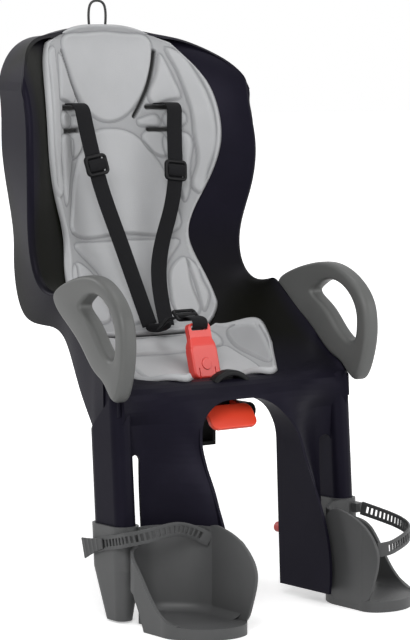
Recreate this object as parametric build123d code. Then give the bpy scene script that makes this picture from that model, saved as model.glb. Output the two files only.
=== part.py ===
from build123d import *
import math
import os

os.makedirs("parts", exist_ok=True)

# Frame: origin at the centre of the carrier block's flat underside, seat facing -Y, +Z up, millimetres.

# Moulded shell
wall = 4.0
lip_radius = 7.0
wing_half = 191.0           # widest half width, at the head wings
neck_half = wing_half - 3   # just above the wings
waist_half = 177.0          # narrowest half width, above the hips
hip_half = 179.5
knee_half = 194.0           # half width where the thighs leave the pan
hip_height = 235.0          # centre line about which the back turns into the pan
hip_reach = 20.0
waist_height = hip_height + 30
wing_height = waist_height + 130
top_height = wing_height + 157              # crown of the back
pan_low = hip_height - 151                  # lowest point of the pan, at the crotch strap
pan_front = pan_low + 12                    # pan at its rolled front edge
pan_end = -80.0             # where the pan passes into the front apron
apron_radius = 38.0
apron_height = pan_front - apron_radius     # centre line of the rolled front edge
apron_reach = pan_end + 2
leg_foot = -184.0           # lower end of the leg guards
wing_flange = 87.0          # depth of the side flange at the wings
skin_fractions = (0.0, 0.2, 0.385, 0.575, 0.77, 0.92)
edge_fractions = skin_fractions + (0.96,)
pad_fractions = (0.0, 0.3, 0.55, 0.8, 1.0)
far = 400.0                 # reach of the cutting prisms, beyond the whole seat

# Crown, arch and guard outlines
crown_corner = 86.0
crown_drop = 14.0
crown_spread = 15.0         # the crown's outline is this much wider in front than the wings
crown_taper = 26.5          # and this much narrower behind
crown_start = wing_height + 45              # the crown's outline rules above this height
ring_start = wing_height + 71
ring_overhang = 14.0        # how far the crown flange passes behind the back
arch_half = 80.0
arch_height = apron_height + 11
arch_corner = 62.0
guard_rear = apron_reach - 12
guard_rear_foot = apron_reach - 21
guard_top = apron_height + 18
cheek_inset = 2.5           # the cheeks lie this far inside the side flange
cheek_thickness = 7.5
guide_half = 28.0           # strap guide on the rolled front edge
guide_rise = 14.0
guide_width = 14.0
guide_wall = 5.0

# Leg posts and the footrests that slide on them
post_inner = knee_half - 28
post_outer = knee_half + 2
post_front = apron_reach - 34
post_rear = apron_reach + 29
post_top = apron_height + 42
post_corner = 13.0
post_level = 25.0           # height at which the post's front and rear are given
post_full_foot = -100.0
post_foot = -135.0
post_tip_width = 18.0
post_tip_depth = 30.0
leg_lean = 0.07             # rearward run of the leg per unit of height
slot_width = 17.0           # gap between guard and post
slot_top = 8.0
slide_clearance = 0.5
slide_travel = 30.0
sleeve_wall = 3.5
sleeve_top = -78.0
sleeve_full_foot = -133.0
sleeve_foot = -199.0
sleeve_tip_width = 24.0
sleeve_tip_depth = 37.0

# Foot cup
cup_inner = post_inner - 68
cup_outer = knee_half + 5
cup_wall = 4.0
cup_front = -262.0
cup_floor = -187.0          # top of the floor
cup_floor_thickness = 14.0
cup_back_top = -78.0
cup_round = 12.0            # hollow round between floor and walls

# Height latch behind each leg guard
latch_inner = cup_inner + 5
latch_front = -92.0
latch_rear = -72.0
latch_top = -104.0
latch_foot = -136.0
button_diameter = 14.0
button_x = latch_inner + 9
button_z = -118.0
button_reach = 18.0         # how far the button stands out behind the latch
button_travel = 4.0
press_clearance = 0.3

# Armrests
arm_thickness = 24.0
arm_offset = 7.5            # armrest centre outboard of the hip line
arm_rear_y = 25.0
arm_knee = 2.4              # and outboard of the knee line, 100 in front of the origin
arm_splay = (knee_half + arm_knee - hip_half - arm_offset) / (arm_rear_y + 100)
arm_round = 3.0

# Padding
pad_thickness = 12.0
pad_gap = 1.0
pad_margin = 9.0            # padding stays this far inside the crown
pad_split = 67.0            # turn angle of the fold between back and seat padding

# Harness
web_width = 25.0
web_thickness = 2.0
slot_x = 80.0
slot_length = 36.0
slot_height = 6.0
slot_upper = wing_height + 52
slot_lower = wing_height + 20
joint_y = 62.0              # where the shoulder straps come together
joint_z = pan_low + 68

# Buckle
buckle_width = 44.0
buckle_length = 46.0
buckle_depth = 14.0
buckle_lean = 15.5
buckle_y = -36.0
buckle_z = pan_low + 27
tongue_width = 36.0
tongue_length = 28.0
tongue_depth = 8.0
plug_length = 10.0
release_diameter = 16.0
release_proud = 1.0
release_length = 6.5
release_travel = 1.5
slit_x = 13.0
slit_length = 15.0
slit_depth = 2.5

# Carrier bracket and release lever
carrier_half = 18.0
carrier_reach = 40.0
channel_size = 26.0
channel_floor = 5.0
socket_x = 45.0
socket_z = apron_height - 12
socket_outer = 24.0
socket_bore = 10.4
socket_front = -76.0
socket_rear = 40.0
pivot_y = -52.0
pivot_z = apron_height + 2
pivot_diameter = 6.0
pivot_clearance = 0.03
nose_half = 23.5
lever_half = 38.0
lever_arm_x = 24.0
lever_arm_width = 6.0
lever_thickness = 6.0
lever_top_y = -84.0
lever_top_z = apron_height
lever_low_y = -105.0
lever_low_z = apron_height - 28

# Hang loop
cord_diameter = 3.5
loop_half = 13.5
loop_rise = 35.0

half_turn = math.sqrt(0.5)


def tilted(y, z, angle):
    """Plane across the seat: its local y runs away from the child, turned down by the angle."""
    a = math.radians(angle)
    return Plane(origin=(0, y, z), x_dir=(1, 0, 0), z_dir=(0, math.sin(a), math.cos(a)))


def bucket_skin(lip, centre, fullness):
    """Depth of the moulded surface at the skin fractions, from the centre out to the lip."""
    return [lip + (centre - lip) * (1 - f ** fullness) ** 2 for f in skin_fractions]


def offset_curve(points, distance):
    """Points moved square to their own curve by the distance."""
    moved = []
    last = len(points) - 1
    for i, (x, w) in enumerate(points):
        before = points[max(i - 1, 0)]
        after = points[min(i + 1, last)]
        run = after[0] - before[0]
        rise = after[1] - before[1]
        size = math.hypot(run, rise)
        moved.append((x - distance * rise / size, w + distance * run / size))
    return moved


def mirrored(right):
    return [(-x, w) for x, w in reversed(right[1:])] + right


def smooth(points, fractions):
    """Spline through mirrored points, with its knots at the same fractions on every section of a loft."""
    outward = [0.5 + 0.5 * f / fractions[-1] for f in fractions]
    knots = [1 - k for k in reversed(outward[1:])] + outward
    return Edge.make_spline([Vector(*p) for p in points], parameters=knots)


def band(points, near, away, fractions):
    """Closed band between two offsets of one curve."""
    front = offset_curve(points, near)
    rear = offset_curve(points, away)
    ends = [Line(front[-1], rear[-1]), Line(rear[0], front[0])]
    return make_face(Curve() + [smooth(front, fractions), smooth(rear, fractions)] + ends)


class Station:
    """One cross-section of the shell: plane, lip half width and depth, skin depths, flange end."""

    def __init__(self, plane, half, lip, skin, flange_half, flange_end):
        self.plane = plane
        self.half = half
        self.lip = lip
        self.skin = skin
        self.flange_half = flange_half
        self.flange_end = flange_end

    def skin_points(self):
        right = [(f * self.half, w) for f, w in zip(skin_fractions, self.skin)]
        return mirrored(right + [(self.half - lip_radius, self.lip)])

    def skin_edges(self):
        """Curves of the wall's two faces, between the lips."""
        front = self.skin_points()
        rear = offset_curve(front, wall)
        rear[0] = (front[0][0], front[0][1] + wall)
        rear[-1] = (front[-1][0], front[-1][1] + wall)
        return [smooth(front, edge_fractions), smooth(rear, edge_fractions)]

    def wall_face(self):
        """The wall alone, without lip and flange."""
        front, rear = self.skin_edges()
        ends = [Line(front @ 1, rear @ 1), Line(rear @ 0, front @ 0)]
        return self.plane * make_face(Curve() + [front, rear] + ends)

    def shell_face(self):
        sides = []
        for s in (1, -1):
            turn_point = Vector(s * (self.half - lip_radius), self.lip + lip_radius)
            diagonal = Vector(s, -1) * half_turn
            inner_radius = lip_radius - wall
            flange_out = Vector(s * self.flange_half, self.flange_end)
            flange_in = flange_out - Vector(s * wall, 0)
            bend_out = turn_point + Vector(s * lip_radius, 0)
            bend_in = turn_point + Vector(s * inner_radius, 0)
            top_out = turn_point - Vector(0, lip_radius)
            top_in = turn_point - Vector(0, inner_radius)
            lip_out = ThreePointArc(top_out, turn_point + diagonal * lip_radius, bend_out)
            lip_in = ThreePointArc(bend_in, turn_point + diagonal * inner_radius, top_in)
            legs = [Line(bend_out, flange_out), Line(flange_out, flange_in), Line(flange_in, bend_in)]
            sides.append([lip_out] + legs + [lip_in])
        front, rear = self.skin_edges()
        edges = [front] + sides[0] + [rear] + sides[1][::-1]
        return self.plane * make_face(Curve() + edges)

    def depth_at(self, x):
        """Depth of the skin at a half width, along the same curve as the shell's."""
        curve = smooth(self.skin_points(), edge_fractions)
        best = min((abs((curve @ t).X - x), t) for t in [0.5 + i / 400 for i in range(200)])
        return (curve @ best[1]).Y

    def pad_face(self, half, gap):
        """Closed band of padding lying a gap in front of the skin."""
        points = mirrored([(half * f, self.depth_at(half * f)) for f in pad_fractions])
        return self.plane * band(points, -gap - pad_thickness, -gap, pad_fractions)


def back_station(height, half, lip, centre, fullness, flange_half, flange_end):
    return Station(tilted(0, height, 0), half, lip, bucket_skin(lip, centre, fullness), flange_half, flange_end)


def turn_station(angle, half, lip, centre, fullness, flange_half, flange_end):
    plane = tilted(hip_reach, hip_height, angle)
    return Station(plane, half, lip, bucket_skin(lip, centre, fullness), flange_half, flange_end)


def pan_station(y, half, lip, centre, fullness, flange_half, flange_end):
    skin = bucket_skin(-lip, -centre, fullness)
    return Station(tilted(y, 0, 90), half, -lip, skin, flange_half, -flange_end)


back = [
    back_station(top_height + 10, wing_half, 186, 199, 2.6, wing_half - 11, 207),
    back_station(top_height - 30, wing_half, 140, 193, 2.6, wing_half - 11, 188),
    back_station(top_height - 67, wing_half, 108, 188, 2.6, wing_half - 13, 181),
    back_station(top_height - 107, neck_half, 95, 183, 2.6, neck_half - 14, 177),
    back_station(wing_height, wing_half, 86, 175, 2.7, wing_half - 15, 86 + wing_flange),
    back_station(wing_height - 65, wing_half - 4, 91, 162, 3.0, wing_half - 20, 167),
    back_station(waist_height, waist_half, 103, 149, 3.2, waist_half - 14, 165),
]
turn = [
    turn_station(0, waist_half - 1.5, 78, 117, 3.6, waist_half - 14, 145),
    turn_station(30, waist_half, 56, 108, 4.2, waist_half - 11, 133),
    turn_station(60, hip_half - 1, 31, 119, 5.0, hip_half - 9, 88),
    turn_station(90, hip_half, 31, 134, 5.5, hip_half - 3, 101),
]
pan = [
    pan_station(-15, hip_half + 4.5, pan_low + 88, pan_low + 8, 5.5, hip_half + 4, pan_low + 1),
    pan_station(-50, knee_half - 5, pan_low + 56, pan_low, 5.0, knee_half - 4, pan_low - 39),
    pan_station(pan_end, knee_half, pan_low + 29, pan_front - 1, 5.0, knee_half - 1, pan_low - 46),
]


def front_band(plane, skin):
    """Plain band of moulded wall that carries the pan over the front edge and down the legs."""
    reach = [f * knee_half for f in skin_fractions] + [knee_half - lip_radius - 2]
    right = list(zip(reach, skin))
    return plane * band(mirrored(right), 0, wall, edge_fractions)


def roll_band(angle, skin):
    return front_band(tilted(apron_reach, apron_height, angle), skin)


def level_band(height, skin):
    return front_band(tilted(apron_reach, height, 0), skin)


# Skin of the front edge about its roll, by angle, and of the legs by height, both from the roll's centre line
roll_keys = [
    (67, [-38, -38, -39, -39, -42, -46, -49]),
    (45, [-39, -39, -40, -39, -38, -40, -43]),
    (22, [-38, -39, -42, -38, -31, -35, -38]),
    (0, [-38, -39, -44, -36.5, -26.5, -31.5, -35]),
]
leg_keys = [
    (apron_height - 12, [-38, -39, -46, -35, -22, -28, -32]),
    (apron_height - 38, [-44, -47, -57, -37, -20, -28, -33]),
    (apron_height - 63, [-54, -59, -69, -41, -19, -29, -34]),
    (apron_height - 98, [-79, -84, -90, -51, -20, -31, -36]),
    (apron_height - 138, [-106, -110, -106, -60, -23, -33, -38]),
    (apron_height - 188, [-119, -122, -115, -67, -27, -37, -41]),
    (leg_foot, [-126, -127, -121, -70, -30, -41, -45]),
]


def blended(keys, steps):
    """Skins between the given ones, on cubic curves with slopes from their neighbours."""
    def slopes(i):
        before = keys[max(i - 1, 0)]
        after = keys[min(i + 1, len(keys) - 1)]
        return [(b - a) / (after[0] - before[0]) for a, b in zip(before[1], after[1])]

    made = []
    for i in range(len(keys) - 1):
        span = keys[i + 1][0] - keys[i][0]
        for k in range(steps):
            t = k / steps
            rest = 1 - t
            near = (1 + 2 * t) * rest * rest
            push = t * rest * rest * span
            pull = -t * t * rest * span
            values = zip(keys[i][1], keys[i + 1][1], slopes(i), slopes(i + 1))
            skin = [a * near + b * (1 - near) + m * push + n * pull for a, b, m, n in values]
            made.append((keys[i][0] + span * t, skin))
    return made + [keys[-1]]


front_bands = [pan[-1].wall_face()]
front_bands += [roll_band(angle, skin) for angle, skin in blended(roll_keys, 2)]
front_bands += [level_band(height, skin) for height, skin in blended(leg_keys, 3)]


def crown_face(y, half, corner, top):
    """Front outline of the arched back at one depth."""
    side_top = top - crown_drop - corner
    flat = half - corner
    edges = [
        Line((-half, 0), (half, 0)),
        Line((half, 0), (half, side_top)),
        ThreePointArc((half, side_top), (flat + half_turn * corner, side_top + half_turn * corner),
                      (flat, side_top + corner)),
        ThreePointArc((flat, side_top + corner), (0, top), (-flat, side_top + corner)),
        ThreePointArc((-flat, side_top + corner), (-flat - half_turn * corner, side_top + half_turn * corner),
                      (-half, side_top)),
        Line((-half, side_top), (-half, 0)),
    ]
    return Plane(origin=(0, y, 0), x_dir=(1, 0, 0), z_dir=(0, -1, 0)) * make_face(Curve() + edges)


def crown_solid(inset):
    """The space inside the crown's outline, which narrows a little towards the rear."""
    front = crown_face(20, wing_half + crown_spread - inset, crown_corner + 6 - inset, top_height + 7 - inset)
    rear = crown_face(240, wing_half - crown_taper - inset, crown_corner - 6 - inset, top_height - 1 - inset)
    return loft([front, rear], ruled=True)


def outside_crown(inset):
    """What the crown's outline takes off a piece above its start."""
    block = Pos(0, 130, crown_start + 100) * Box(2 * wing_half + 60, 218, 200)
    return block - crown_solid(inset)


def closed_outline(points, closing):
    """Face from a spline through points, closed by straight lines through the closing points."""
    edges = [Spline(*points)]
    loop = [points[-1]] + list(closing) + [points[0]]
    edges += [Line(a, b) for a, b in zip(loop, loop[1:])]
    return make_face(Curve() + edges)


def side_prism(outline, left, right):
    """Prism along X between two stations from an outline in the side view."""
    return extrude(Plane(origin=(left, 0, 0), x_dir=(0, 1, 0), z_dir=(1, 0, 0)) * outline, amount=right - left)


def arch_face(outset):
    """Front outline of the gap between the legs."""
    w = arch_half + outset
    r = arch_corner + outset
    t = arch_height + outset
    low = leg_foot - 40
    edges = [
        Line((-w, low), (w, low)),
        Line((w, low), (w, t - r)),
        ThreePointArc((w, t - r), (w - r + half_turn * r, t - r + half_turn * r), (w - r, t)),
        Line((w - r, t), (r - w, t)),
        ThreePointArc((r - w, t), (r - w - half_turn * r, t - r + half_turn * r), (-w, t - r)),
        Line((-w, t - r), (-w, low)),
    ]
    return Plane.XZ * make_face(Curve() + edges)


def leg_y(y, z):
    """Depth of a leg feature given at the post level, carried along the leaning leg."""
    return y + leg_lean * (z - post_level)


post_x = (post_inner + post_outer) / 2
post_y = (post_front + post_rear) / 2
post_width = post_outer - post_inner
post_depth = post_rear - post_front


def leg_section(side, z, width, depth, corner):
    """Rounded rectangle across a leg at one height."""
    centre = Pos(side * post_x, leg_y(post_y, z))
    return Plane(origin=(0, 0, z)) * (centre * RectangleRounded(width, depth, corner))


def leg_solid(side, top, full_foot, foot, grown, tip_width, tip_depth):
    """The post's section grown by a clearance or wall: a straight run and a tapering tip."""
    width = post_width + 2 * grown
    depth = post_depth + 2 * grown
    corner = post_corner + grown
    upper = leg_section(side, top, width, depth, corner)
    lower = leg_section(side, full_foot, width, depth, corner)
    tip = leg_section(side, foot, tip_width, tip_depth, min(corner, tip_width / 2 - 1))
    return loft([upper, lower], ruled=True) + loft([lower, tip], ruled=True)


def largest(shape):
    return max(shape.solids(), key=lambda s: s.volume)


# Strap openings through the shell and the padding
strap_slots = []
for side in (1, -1):
    for height in (slot_upper, slot_lower):
        strap_slots.append(Pos(side * slot_x, 160, height) * Box(slot_length, 120, slot_height))
crotch_y = buckle_y - 7
crotch_slot = Pos(0, crotch_y, pan_low) * Box(web_width + 6, web_thickness + 4, 40)

# Seat shell: bucket, rolled front, crown flange, leg guards and posts in one moulding
bucket = loft([s.shell_face() for s in back + turn + pan]) - outside_crown(0) - strap_slots - crotch_slot
lip_line = [(102, ring_start), (110, top_height - 68), (124, top_height - 50), (152, top_height - 29),
            (176, top_height - 13), (198, top_height + 4)]
ring_rear = [(198 + ring_overhang, top_height + 4), (176 + ring_overhang, top_height - 52), (180, ring_start)]
ring_region = side_prism(closed_outline(lip_line, ring_rear), -far, far)
ring = (crown_solid(0) - crown_solid(wall)) & ring_region
shell = bucket + ring

apron = loft(front_bands, ruled=True) - extrude(arch_face(0), amount=far, both=True)
slot_inner = post_inner - slot_width
slot_round = slot_width / 2
for side in (1, -1):
    block = Pos(side * (slot_inner + far / 2), -far / 4, slot_top - slot_round - far / 2) * Box(far, far, far)
    round_end = Pos(side * (slot_inner + slot_round), 0, slot_top - slot_round) * Rot(90, 0, 0)
    apron = apron - block - round_end * Cylinder(slot_round, far)
guard_front = [(apron_reach - 120, leg_foot), (apron_reach - 105, apron_height - 138),
               (apron_reach - 68, apron_height - 63), (apron_reach - 45, apron_height - 12),
               (apron_reach - 35, apron_height + 4), (apron_reach - 30, guard_top)]
guard_back = [(apron_reach - 18, guard_top), (guard_rear, apron_height - 18), (guard_rear, apron_height - 48),
              (guard_rear_foot, leg_foot)]
guard_region = side_prism(closed_outline(guard_front, guard_back), -far, far)
guard = extrude(arch_face(wall) - arch_face(0), amount=far, both=True) & guard_region
shell = shell + apron
shell = shell + guard

# Cheeks that close the side between the flange's end and the post
cheek_line = [(pan_end + 1, pan_low + 27), (pan_end - 16.5, pan_low + 17.5), (pan_end - 27.5, pan_low + 3),
              (pan_end - 29, pan_low - 24), (pan_end + 1, pan_low - 44)]
cheek_face = make_face(Polyline(*cheek_line, close=True))
cheek_outer = knee_half - cheek_inset
for side in (1, -1):
    ends = sorted((side * cheek_outer, side * (cheek_outer - cheek_thickness)))
    shell = shell + side_prism(cheek_face, *ends)

# Arched strap guide on the rolled front edge
guide_low = pan_front - 5.5
guide_inner = guide_half - guide_wall
guide_hole_top = guide_low + guide_rise - guide_wall + 0.5
guide_edges = [
    ThreePointArc((-guide_half, guide_low), (0, guide_low + guide_rise), (guide_half, guide_low)),
    Line((guide_half, guide_low), (guide_inner, guide_low)),
    ThreePointArc((guide_inner, guide_low), (0, guide_hole_top), (-guide_inner, guide_low)),
    Line((-guide_inner, guide_low), (-guide_half, guide_low)),
]
guide = extrude(Plane.XZ.offset(3 - pan_end) * make_face(Curve() + guide_edges), amount=guide_width)
shell = shell + guide

# Hollow posts, cut off aslant under the armrests
step_plane = Plane(origin=(0, apron_reach - 28, apron_height + 34), x_dir=(1, 0, 0),
                   z_dir=(0, half_turn, half_turn))
for side in (1, -1):
    post = leg_solid(side, post_top, post_full_foot, post_foot, 0, post_tip_width, post_tip_depth)
    post = split(post, bisect_by=step_plane, keep=Keep.BOTTOM)
    hollow = leg_solid(side, post_top, post_full_foot, post_foot - 5, -wall,
                       post_tip_width - 2 * wall, post_tip_depth - 2 * wall)
    shell = shell - post
    shell = shell + (post - hollow)
export_step(largest(shell), "parts/seat_shell.step")


# Armrests: closed loops that sit on the lip between hip and knee,
# outlined in the side view by reach and by height over the hip's centre line
arm_outline = [(26, -25.7), (8, -16), (-20, -6), (-72, 0), (-117, -19), (-142, -50), (-147, -83), (-138, -129),
               (-127, -149), (-114, -156)]
arm_seat = [(-109.5, -146.5), (-97.5, -131.5), (-80, -121.7)]
arm_opening = [(-45, -35), (-76, -23), (-110, -40), (-124, -67), (-121, -100), (-104, -97), (-75, -70)]


def armrest(side):
    stretch = math.sqrt(1 + arm_splay ** 2)
    start = Vector(side * (hip_half + arm_offset), arm_rear_y, 0)
    along = Vector(side * arm_splay, -1, 0)
    plane = Plane(origin=start, x_dir=along, z_dir=along.cross(Vector(0, 0, 1)))

    def laid(points):
        return [((arm_rear_y - y) * stretch, hip_height + z) for y, z in points]

    outline = closed_outline(laid(arm_outline), laid(arm_seat))
    loop = extrude(plane.offset(-arm_thickness / 2) * outline, amount=arm_thickness)
    hole_face = make_face(Spline(*laid(arm_opening), periodic=True))
    loop = loop - extrude(plane.offset(-arm_thickness) * hole_face, amount=2 * arm_thickness)
    rim = [e for e in loop.edges() if e.length > 200]
    return fillet(rim, arm_round)


for side, name in ((1, "left"), (-1, "right")):
    export_step(armrest(side), f"parts/armrest_{name}.step")


# Padding: back and seat cushions that follow the bucket a gap in front of it
def turn_pad(angle, half, gap):
    """Padding section between the moulded stations of the turn."""
    step = (angle - 60) / 30
    lip = 31
    centre = 119 + (134 - 119) * step
    station = turn_station(angle, hip_half - 1 + step, lip, centre, 5.0 + step / 2, hip_half, 90)
    return station.pad_face(half, gap)


pad_halves = (96, 117, 136, 144, 145, 127, 106, 112, 121, 124)
back_pad_sections = [s.pad_face(half, pad_gap) for s, half in zip(back + turn[:3], pad_halves)]
back_pad_sections.append(turn_pad(pad_split - 1, 124, pad_gap + 1))
back_pad = loft(back_pad_sections) - outside_crown(pad_margin) - strap_slots
seat_pad_sections = [turn_pad(pad_split + 1, 124, pad_gap + 1)]
seat_pad_sections += [s.pad_face(half, pad_gap) for s, half in zip([turn[3]] + pan[:2], (133, 137, 138))]
pad_front = pan_station(pan_end + 1, knee_half, pan_low + 30, pan_front - 1, 5.0, knee_half, pan_low)
seat_pad_sections.append(pad_front.pad_face(120, pad_gap + 1))
buckle_notch = Pos(0, buckle_y - far / 2 + 14, pan_low) * Box(buckle_width + 12, far, 120)
seat_pad = loft(seat_pad_sections) - buckle_notch - shell
export_step(largest(back_pad), "parts/back_pad.step")
export_step(largest(seat_pad), "parts/seat_pad.step")


# Harness webbing
def webbing(points, across, width, thickness):
    """Flat strap along straight runs; its width lies across the given direction."""
    knots = [Vector(*p) for p in points]
    sections = []
    for i, knot in enumerate(knots):
        ahead = (knots[min(i + 1, len(knots) - 1)] - knots[max(i - 1, 0)]).normalized()
        wide = (across - ahead * across.dot(ahead)).normalized()
        sections.append(Plane(origin=knot, x_dir=wide, z_dir=ahead) * Rectangle(width, thickness))
    return loft(sections, ruled=True)


level = Vector(1, 0, 0)
mouth_y = 134.0             # where a shoulder strap comes out of the padding
tail_y = 190.0              # where it ends behind the shell


def shoulder_path(side, rest):
    mouth = [(side * slot_x, tail_y, slot_upper), (side * slot_x, mouth_y + 6, slot_upper),
             (side * slot_x, mouth_y, slot_upper - 1), (side * (slot_x - 1), mouth_y - 4, slot_upper - 6)]
    return mouth + rest


joint_half = 14.0           # half spacing of the shoulder straps where they come together
left_rest = [(70, 116, waist_height + 88), (54, 114, waist_height + 15), (36, 108, waist_height - 25),
             (24, 92, waist_height - 60), (joint_half, joint_y, joint_z)]
right_rest = [(-joint_half, joint_y, joint_z)]
strap_left = webbing(shoulder_path(1, left_rest), level, web_width, web_thickness)
strap_right = webbing(shoulder_path(-1, right_rest), level, web_width, web_thickness)
export_step(strap_left, "parts/shoulder_strap_left.step")
export_step(strap_right, "parts/shoulder_strap_right.step")


def slider(side, path_from, path_to, share):
    """Ladder slider on a straight run of strap: a rounded plate with a slot for the strap."""
    start = Vector(*path_from)
    end = Vector(*path_to)
    along = (end - start).normalized()
    wide = (level - along * level.dot(along)).normalized()
    plane = Plane(origin=start + (end - start) * share, x_dir=wide, z_dir=wide.cross(along))
    body = extrude(plane.offset(-4) * RectangleRounded(web_width + 12, 26, 4), amount=8)
    passage = extrude(plane.offset(-web_thickness / 2 - press_clearance) * Rectangle(web_width + 1, 40),
                      amount=web_thickness + 2 * press_clearance)
    windows = extrude(plane.offset(0) * Rectangle(web_width - 3, 7), amount=10)
    return body - passage - windows


export_step(slider(1, shoulder_path(1, [])[-1], left_rest[0], 0.82), "parts/strap_slider_left.step")
export_step(slider(-1, shoulder_path(-1, [])[-1], right_rest[0], 0.28), "parts/strap_slider_right.step")

# Buckle: body with a press button, tongue plugged in from above, strap in and out
lean = math.radians(buckle_lean)
buckle_plane = Plane(origin=(0, buckle_y, buckle_z), x_dir=(1, 0, 0),
                     z_dir=(0, -math.cos(lean), math.sin(lean)))


def on_buckle(u, v, w):
    """Point of the buckle frame: across, up along it, out of its face."""
    return buckle_plane.origin + buckle_plane.x_dir * u + buckle_plane.y_dir * v + buckle_plane.z_dir * w


def buckle_block(width, length, low, depth, centre_w, corner):
    """Rounded block of the buckle that starts at a height along it."""
    face = Pos(0, low + length / 2) * RectangleRounded(width, length, corner)
    return extrude(buckle_plane.offset(centre_w - depth / 2) * face, amount=depth)


buckle_body = buckle_block(buckle_width, buckle_length, -buckle_length / 2, buckle_depth, 0, 9)
rims = buckle_body.edges().filter_by(lambda e: abs(e.tangent_at(0.5).dot(buckle_plane.z_dir)) < 0.5)
buckle_body = fillet(rims, 3)
plug_width = tongue_width - 8
plug_depth = tongue_depth - 4
plug_seat = buckle_block(plug_width + 2 * press_clearance, plug_length + 5, buckle_length / 2 - plug_length,
                         plug_depth + 2 * press_clearance, 0, 2)
release_face = buckle_depth / 2 + release_proud
release_low = release_face - release_length
release_v = -4.0
well = extrude(buckle_plane.offset(release_low - release_travel - 1) *
               (Pos(0, release_v) * Circle(release_diameter / 2 + press_clearance)), amount=30)
web_mouth = buckle_block(web_width + 2 * press_clearance, 12, -buckle_length / 2 - 2,
                         web_thickness + 2 * press_clearance, 0, 1)
buckle_body = buckle_body - plug_seat - well - web_mouth
for side in (1, -1):
    slit = Pos(side * slit_x, -buckle_length / 2 + slit_length / 2 - 1) * Rectangle(1.6, slit_length)
    buckle_body = buckle_body - extrude(buckle_plane.offset(buckle_depth / 2 - slit_depth) * slit, amount=far)
release = extrude(buckle_plane.offset(release_low) * (Pos(0, release_v) * Circle(release_diameter / 2)),
                  amount=release_length)
release = fillet(release.edges().sort_by(lambda e: e.center().dot(buckle_plane.z_dir))[-1], 0.8)
tongue_low = buckle_length / 2 + press_clearance
tongue = buckle_block(tongue_width, tongue_length, tongue_low, tongue_depth, 0, 7)
tongue = tongue + buckle_block(plug_width, plug_length, tongue_low - plug_length + 1, plug_depth, 0, 2)
tongue_slot_v = tongue_low + tongue_length - 9
tongue = tongue - buckle_block(web_width + 2, 7, tongue_slot_v - 1, 30, 0, 2)
export_step(buckle_body, "parts/buckle_body.step")
export_step(release, "parts/buckle_button.step")
export_step(tongue, "parts/buckle_tongue.step")

# Crotch strap from its anchor under the pan into the buckle, joined strap from the shoulders to the tongue
anchor_top = pan_low - wall - press_clearance
crotch_top = on_buckle(0, -buckle_length / 2 + 8, 0)
crotch_low = on_buckle(0, -buckle_length / 2 - 2, 0)
crotch_path = [(0, crotch_y, anchor_top), (0, crotch_y, pan_low), tuple(crotch_low), tuple(crotch_top)]
export_step(webbing(crotch_path, level, web_width, web_thickness), "parts/crotch_strap.step")
anchor = Pos(0, crotch_y, anchor_top - 2.5) * Box(web_width + 24, 14, 5)
anchor = fillet(anchor.edges().filter_by(Axis.Z), 4)
export_step(anchor, "parts/crotch_anchor.step")

tongue_eye = on_buckle(0, tongue_slot_v + 2.5, 0)
joined_path = [(0, joint_y - 8, joint_z + 2), (0, 30, joint_z + 9), (0, 4, tongue_eye.Z + 6), tuple(tongue_eye)]
joined = webbing(joined_path, level, web_width, web_thickness)
export_step(joined, "parts/joined_strap.step")
joiner_plane = Plane(origin=(0, joint_y, joint_z), x_dir=(1, 0, 0), z_dir=(0, -0.2, 1))
joiner = extrude(joiner_plane.offset(-7) * RectangleRounded(2 * joint_half + web_width + 10, 16, 5), amount=14)
joiner = joiner - strap_left - strap_right - joined
export_step(largest(joiner), "parts/strap_joiner.step")


# Carrier bracket: clamp block, rod sockets and ribs under the pan
def lowest(shape):
    return min(shape.solids(), key=lambda s: s.center().Z)


def block_between(low, high):
    """Box between two corners."""
    size = [b - a for a, b in zip(low, high)]
    middle = [(a + b) / 2 for a, b in zip(low, high)]
    return Pos(*middle) * Box(*size)


rib_half = 4.0
plate_thickness = 12.0
bracket_high = pan_low + 46  # above the pan, which trims the bracket
plate_low = socket_z - plate_thickness / 2
plate_high = socket_z + plate_thickness / 2
socket_span = socket_rear - socket_front
socket_middle = (socket_rear + socket_front) / 2
bracket = block_between((-carrier_half, -carrier_reach, 0), (carrier_half, carrier_reach, bracket_high))
bracket = bracket + block_between((-socket_x, -carrier_reach, plate_low),
                                  (socket_x, carrier_reach - 4, plate_high))
nose_front = pivot_y - 10
bracket = bracket + block_between((-nose_half, nose_front, pivot_z - 12),
                                  (nose_half, -carrier_reach + 1, bracket_high))
for side in (1, -1):
    socket_place = Pos(side * socket_x, socket_middle, socket_z) * Rot(90, 0, 0)
    bracket = bracket + socket_place * Cylinder(socket_outer / 2, socket_span)
    bracket = bracket + block_between((side * socket_x - rib_half, -carrier_reach + 6, socket_z),
                                      (side * socket_x + rib_half, carrier_reach - 6, bracket_high))
for side in (1, -1):
    socket_place = Pos(side * socket_x, socket_middle, socket_z) * Rot(90, 0, 0)
    bracket = bracket - socket_place * Cylinder(socket_bore / 2, far)
channel_half = channel_size / 2
channel = block_between((-channel_half, -far, channel_floor), (channel_half, far, channel_floor + channel_size))
pivot_place = Pos(0, pivot_y, pivot_z) * Rot(0, 90, 0)
bracket = bracket - channel - pivot_place * Cylinder(pivot_diameter / 2 + pivot_clearance, far)
anchor_room_half = web_width / 2 + 14
anchor_room = block_between((-anchor_room_half, crotch_y - 9, anchor_top - 8),
                            (anchor_room_half, crotch_y + 9, far))
bracket = lowest(bracket - shell - anchor_room)
export_step(bracket, "parts/carrier_bracket.step")

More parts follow.
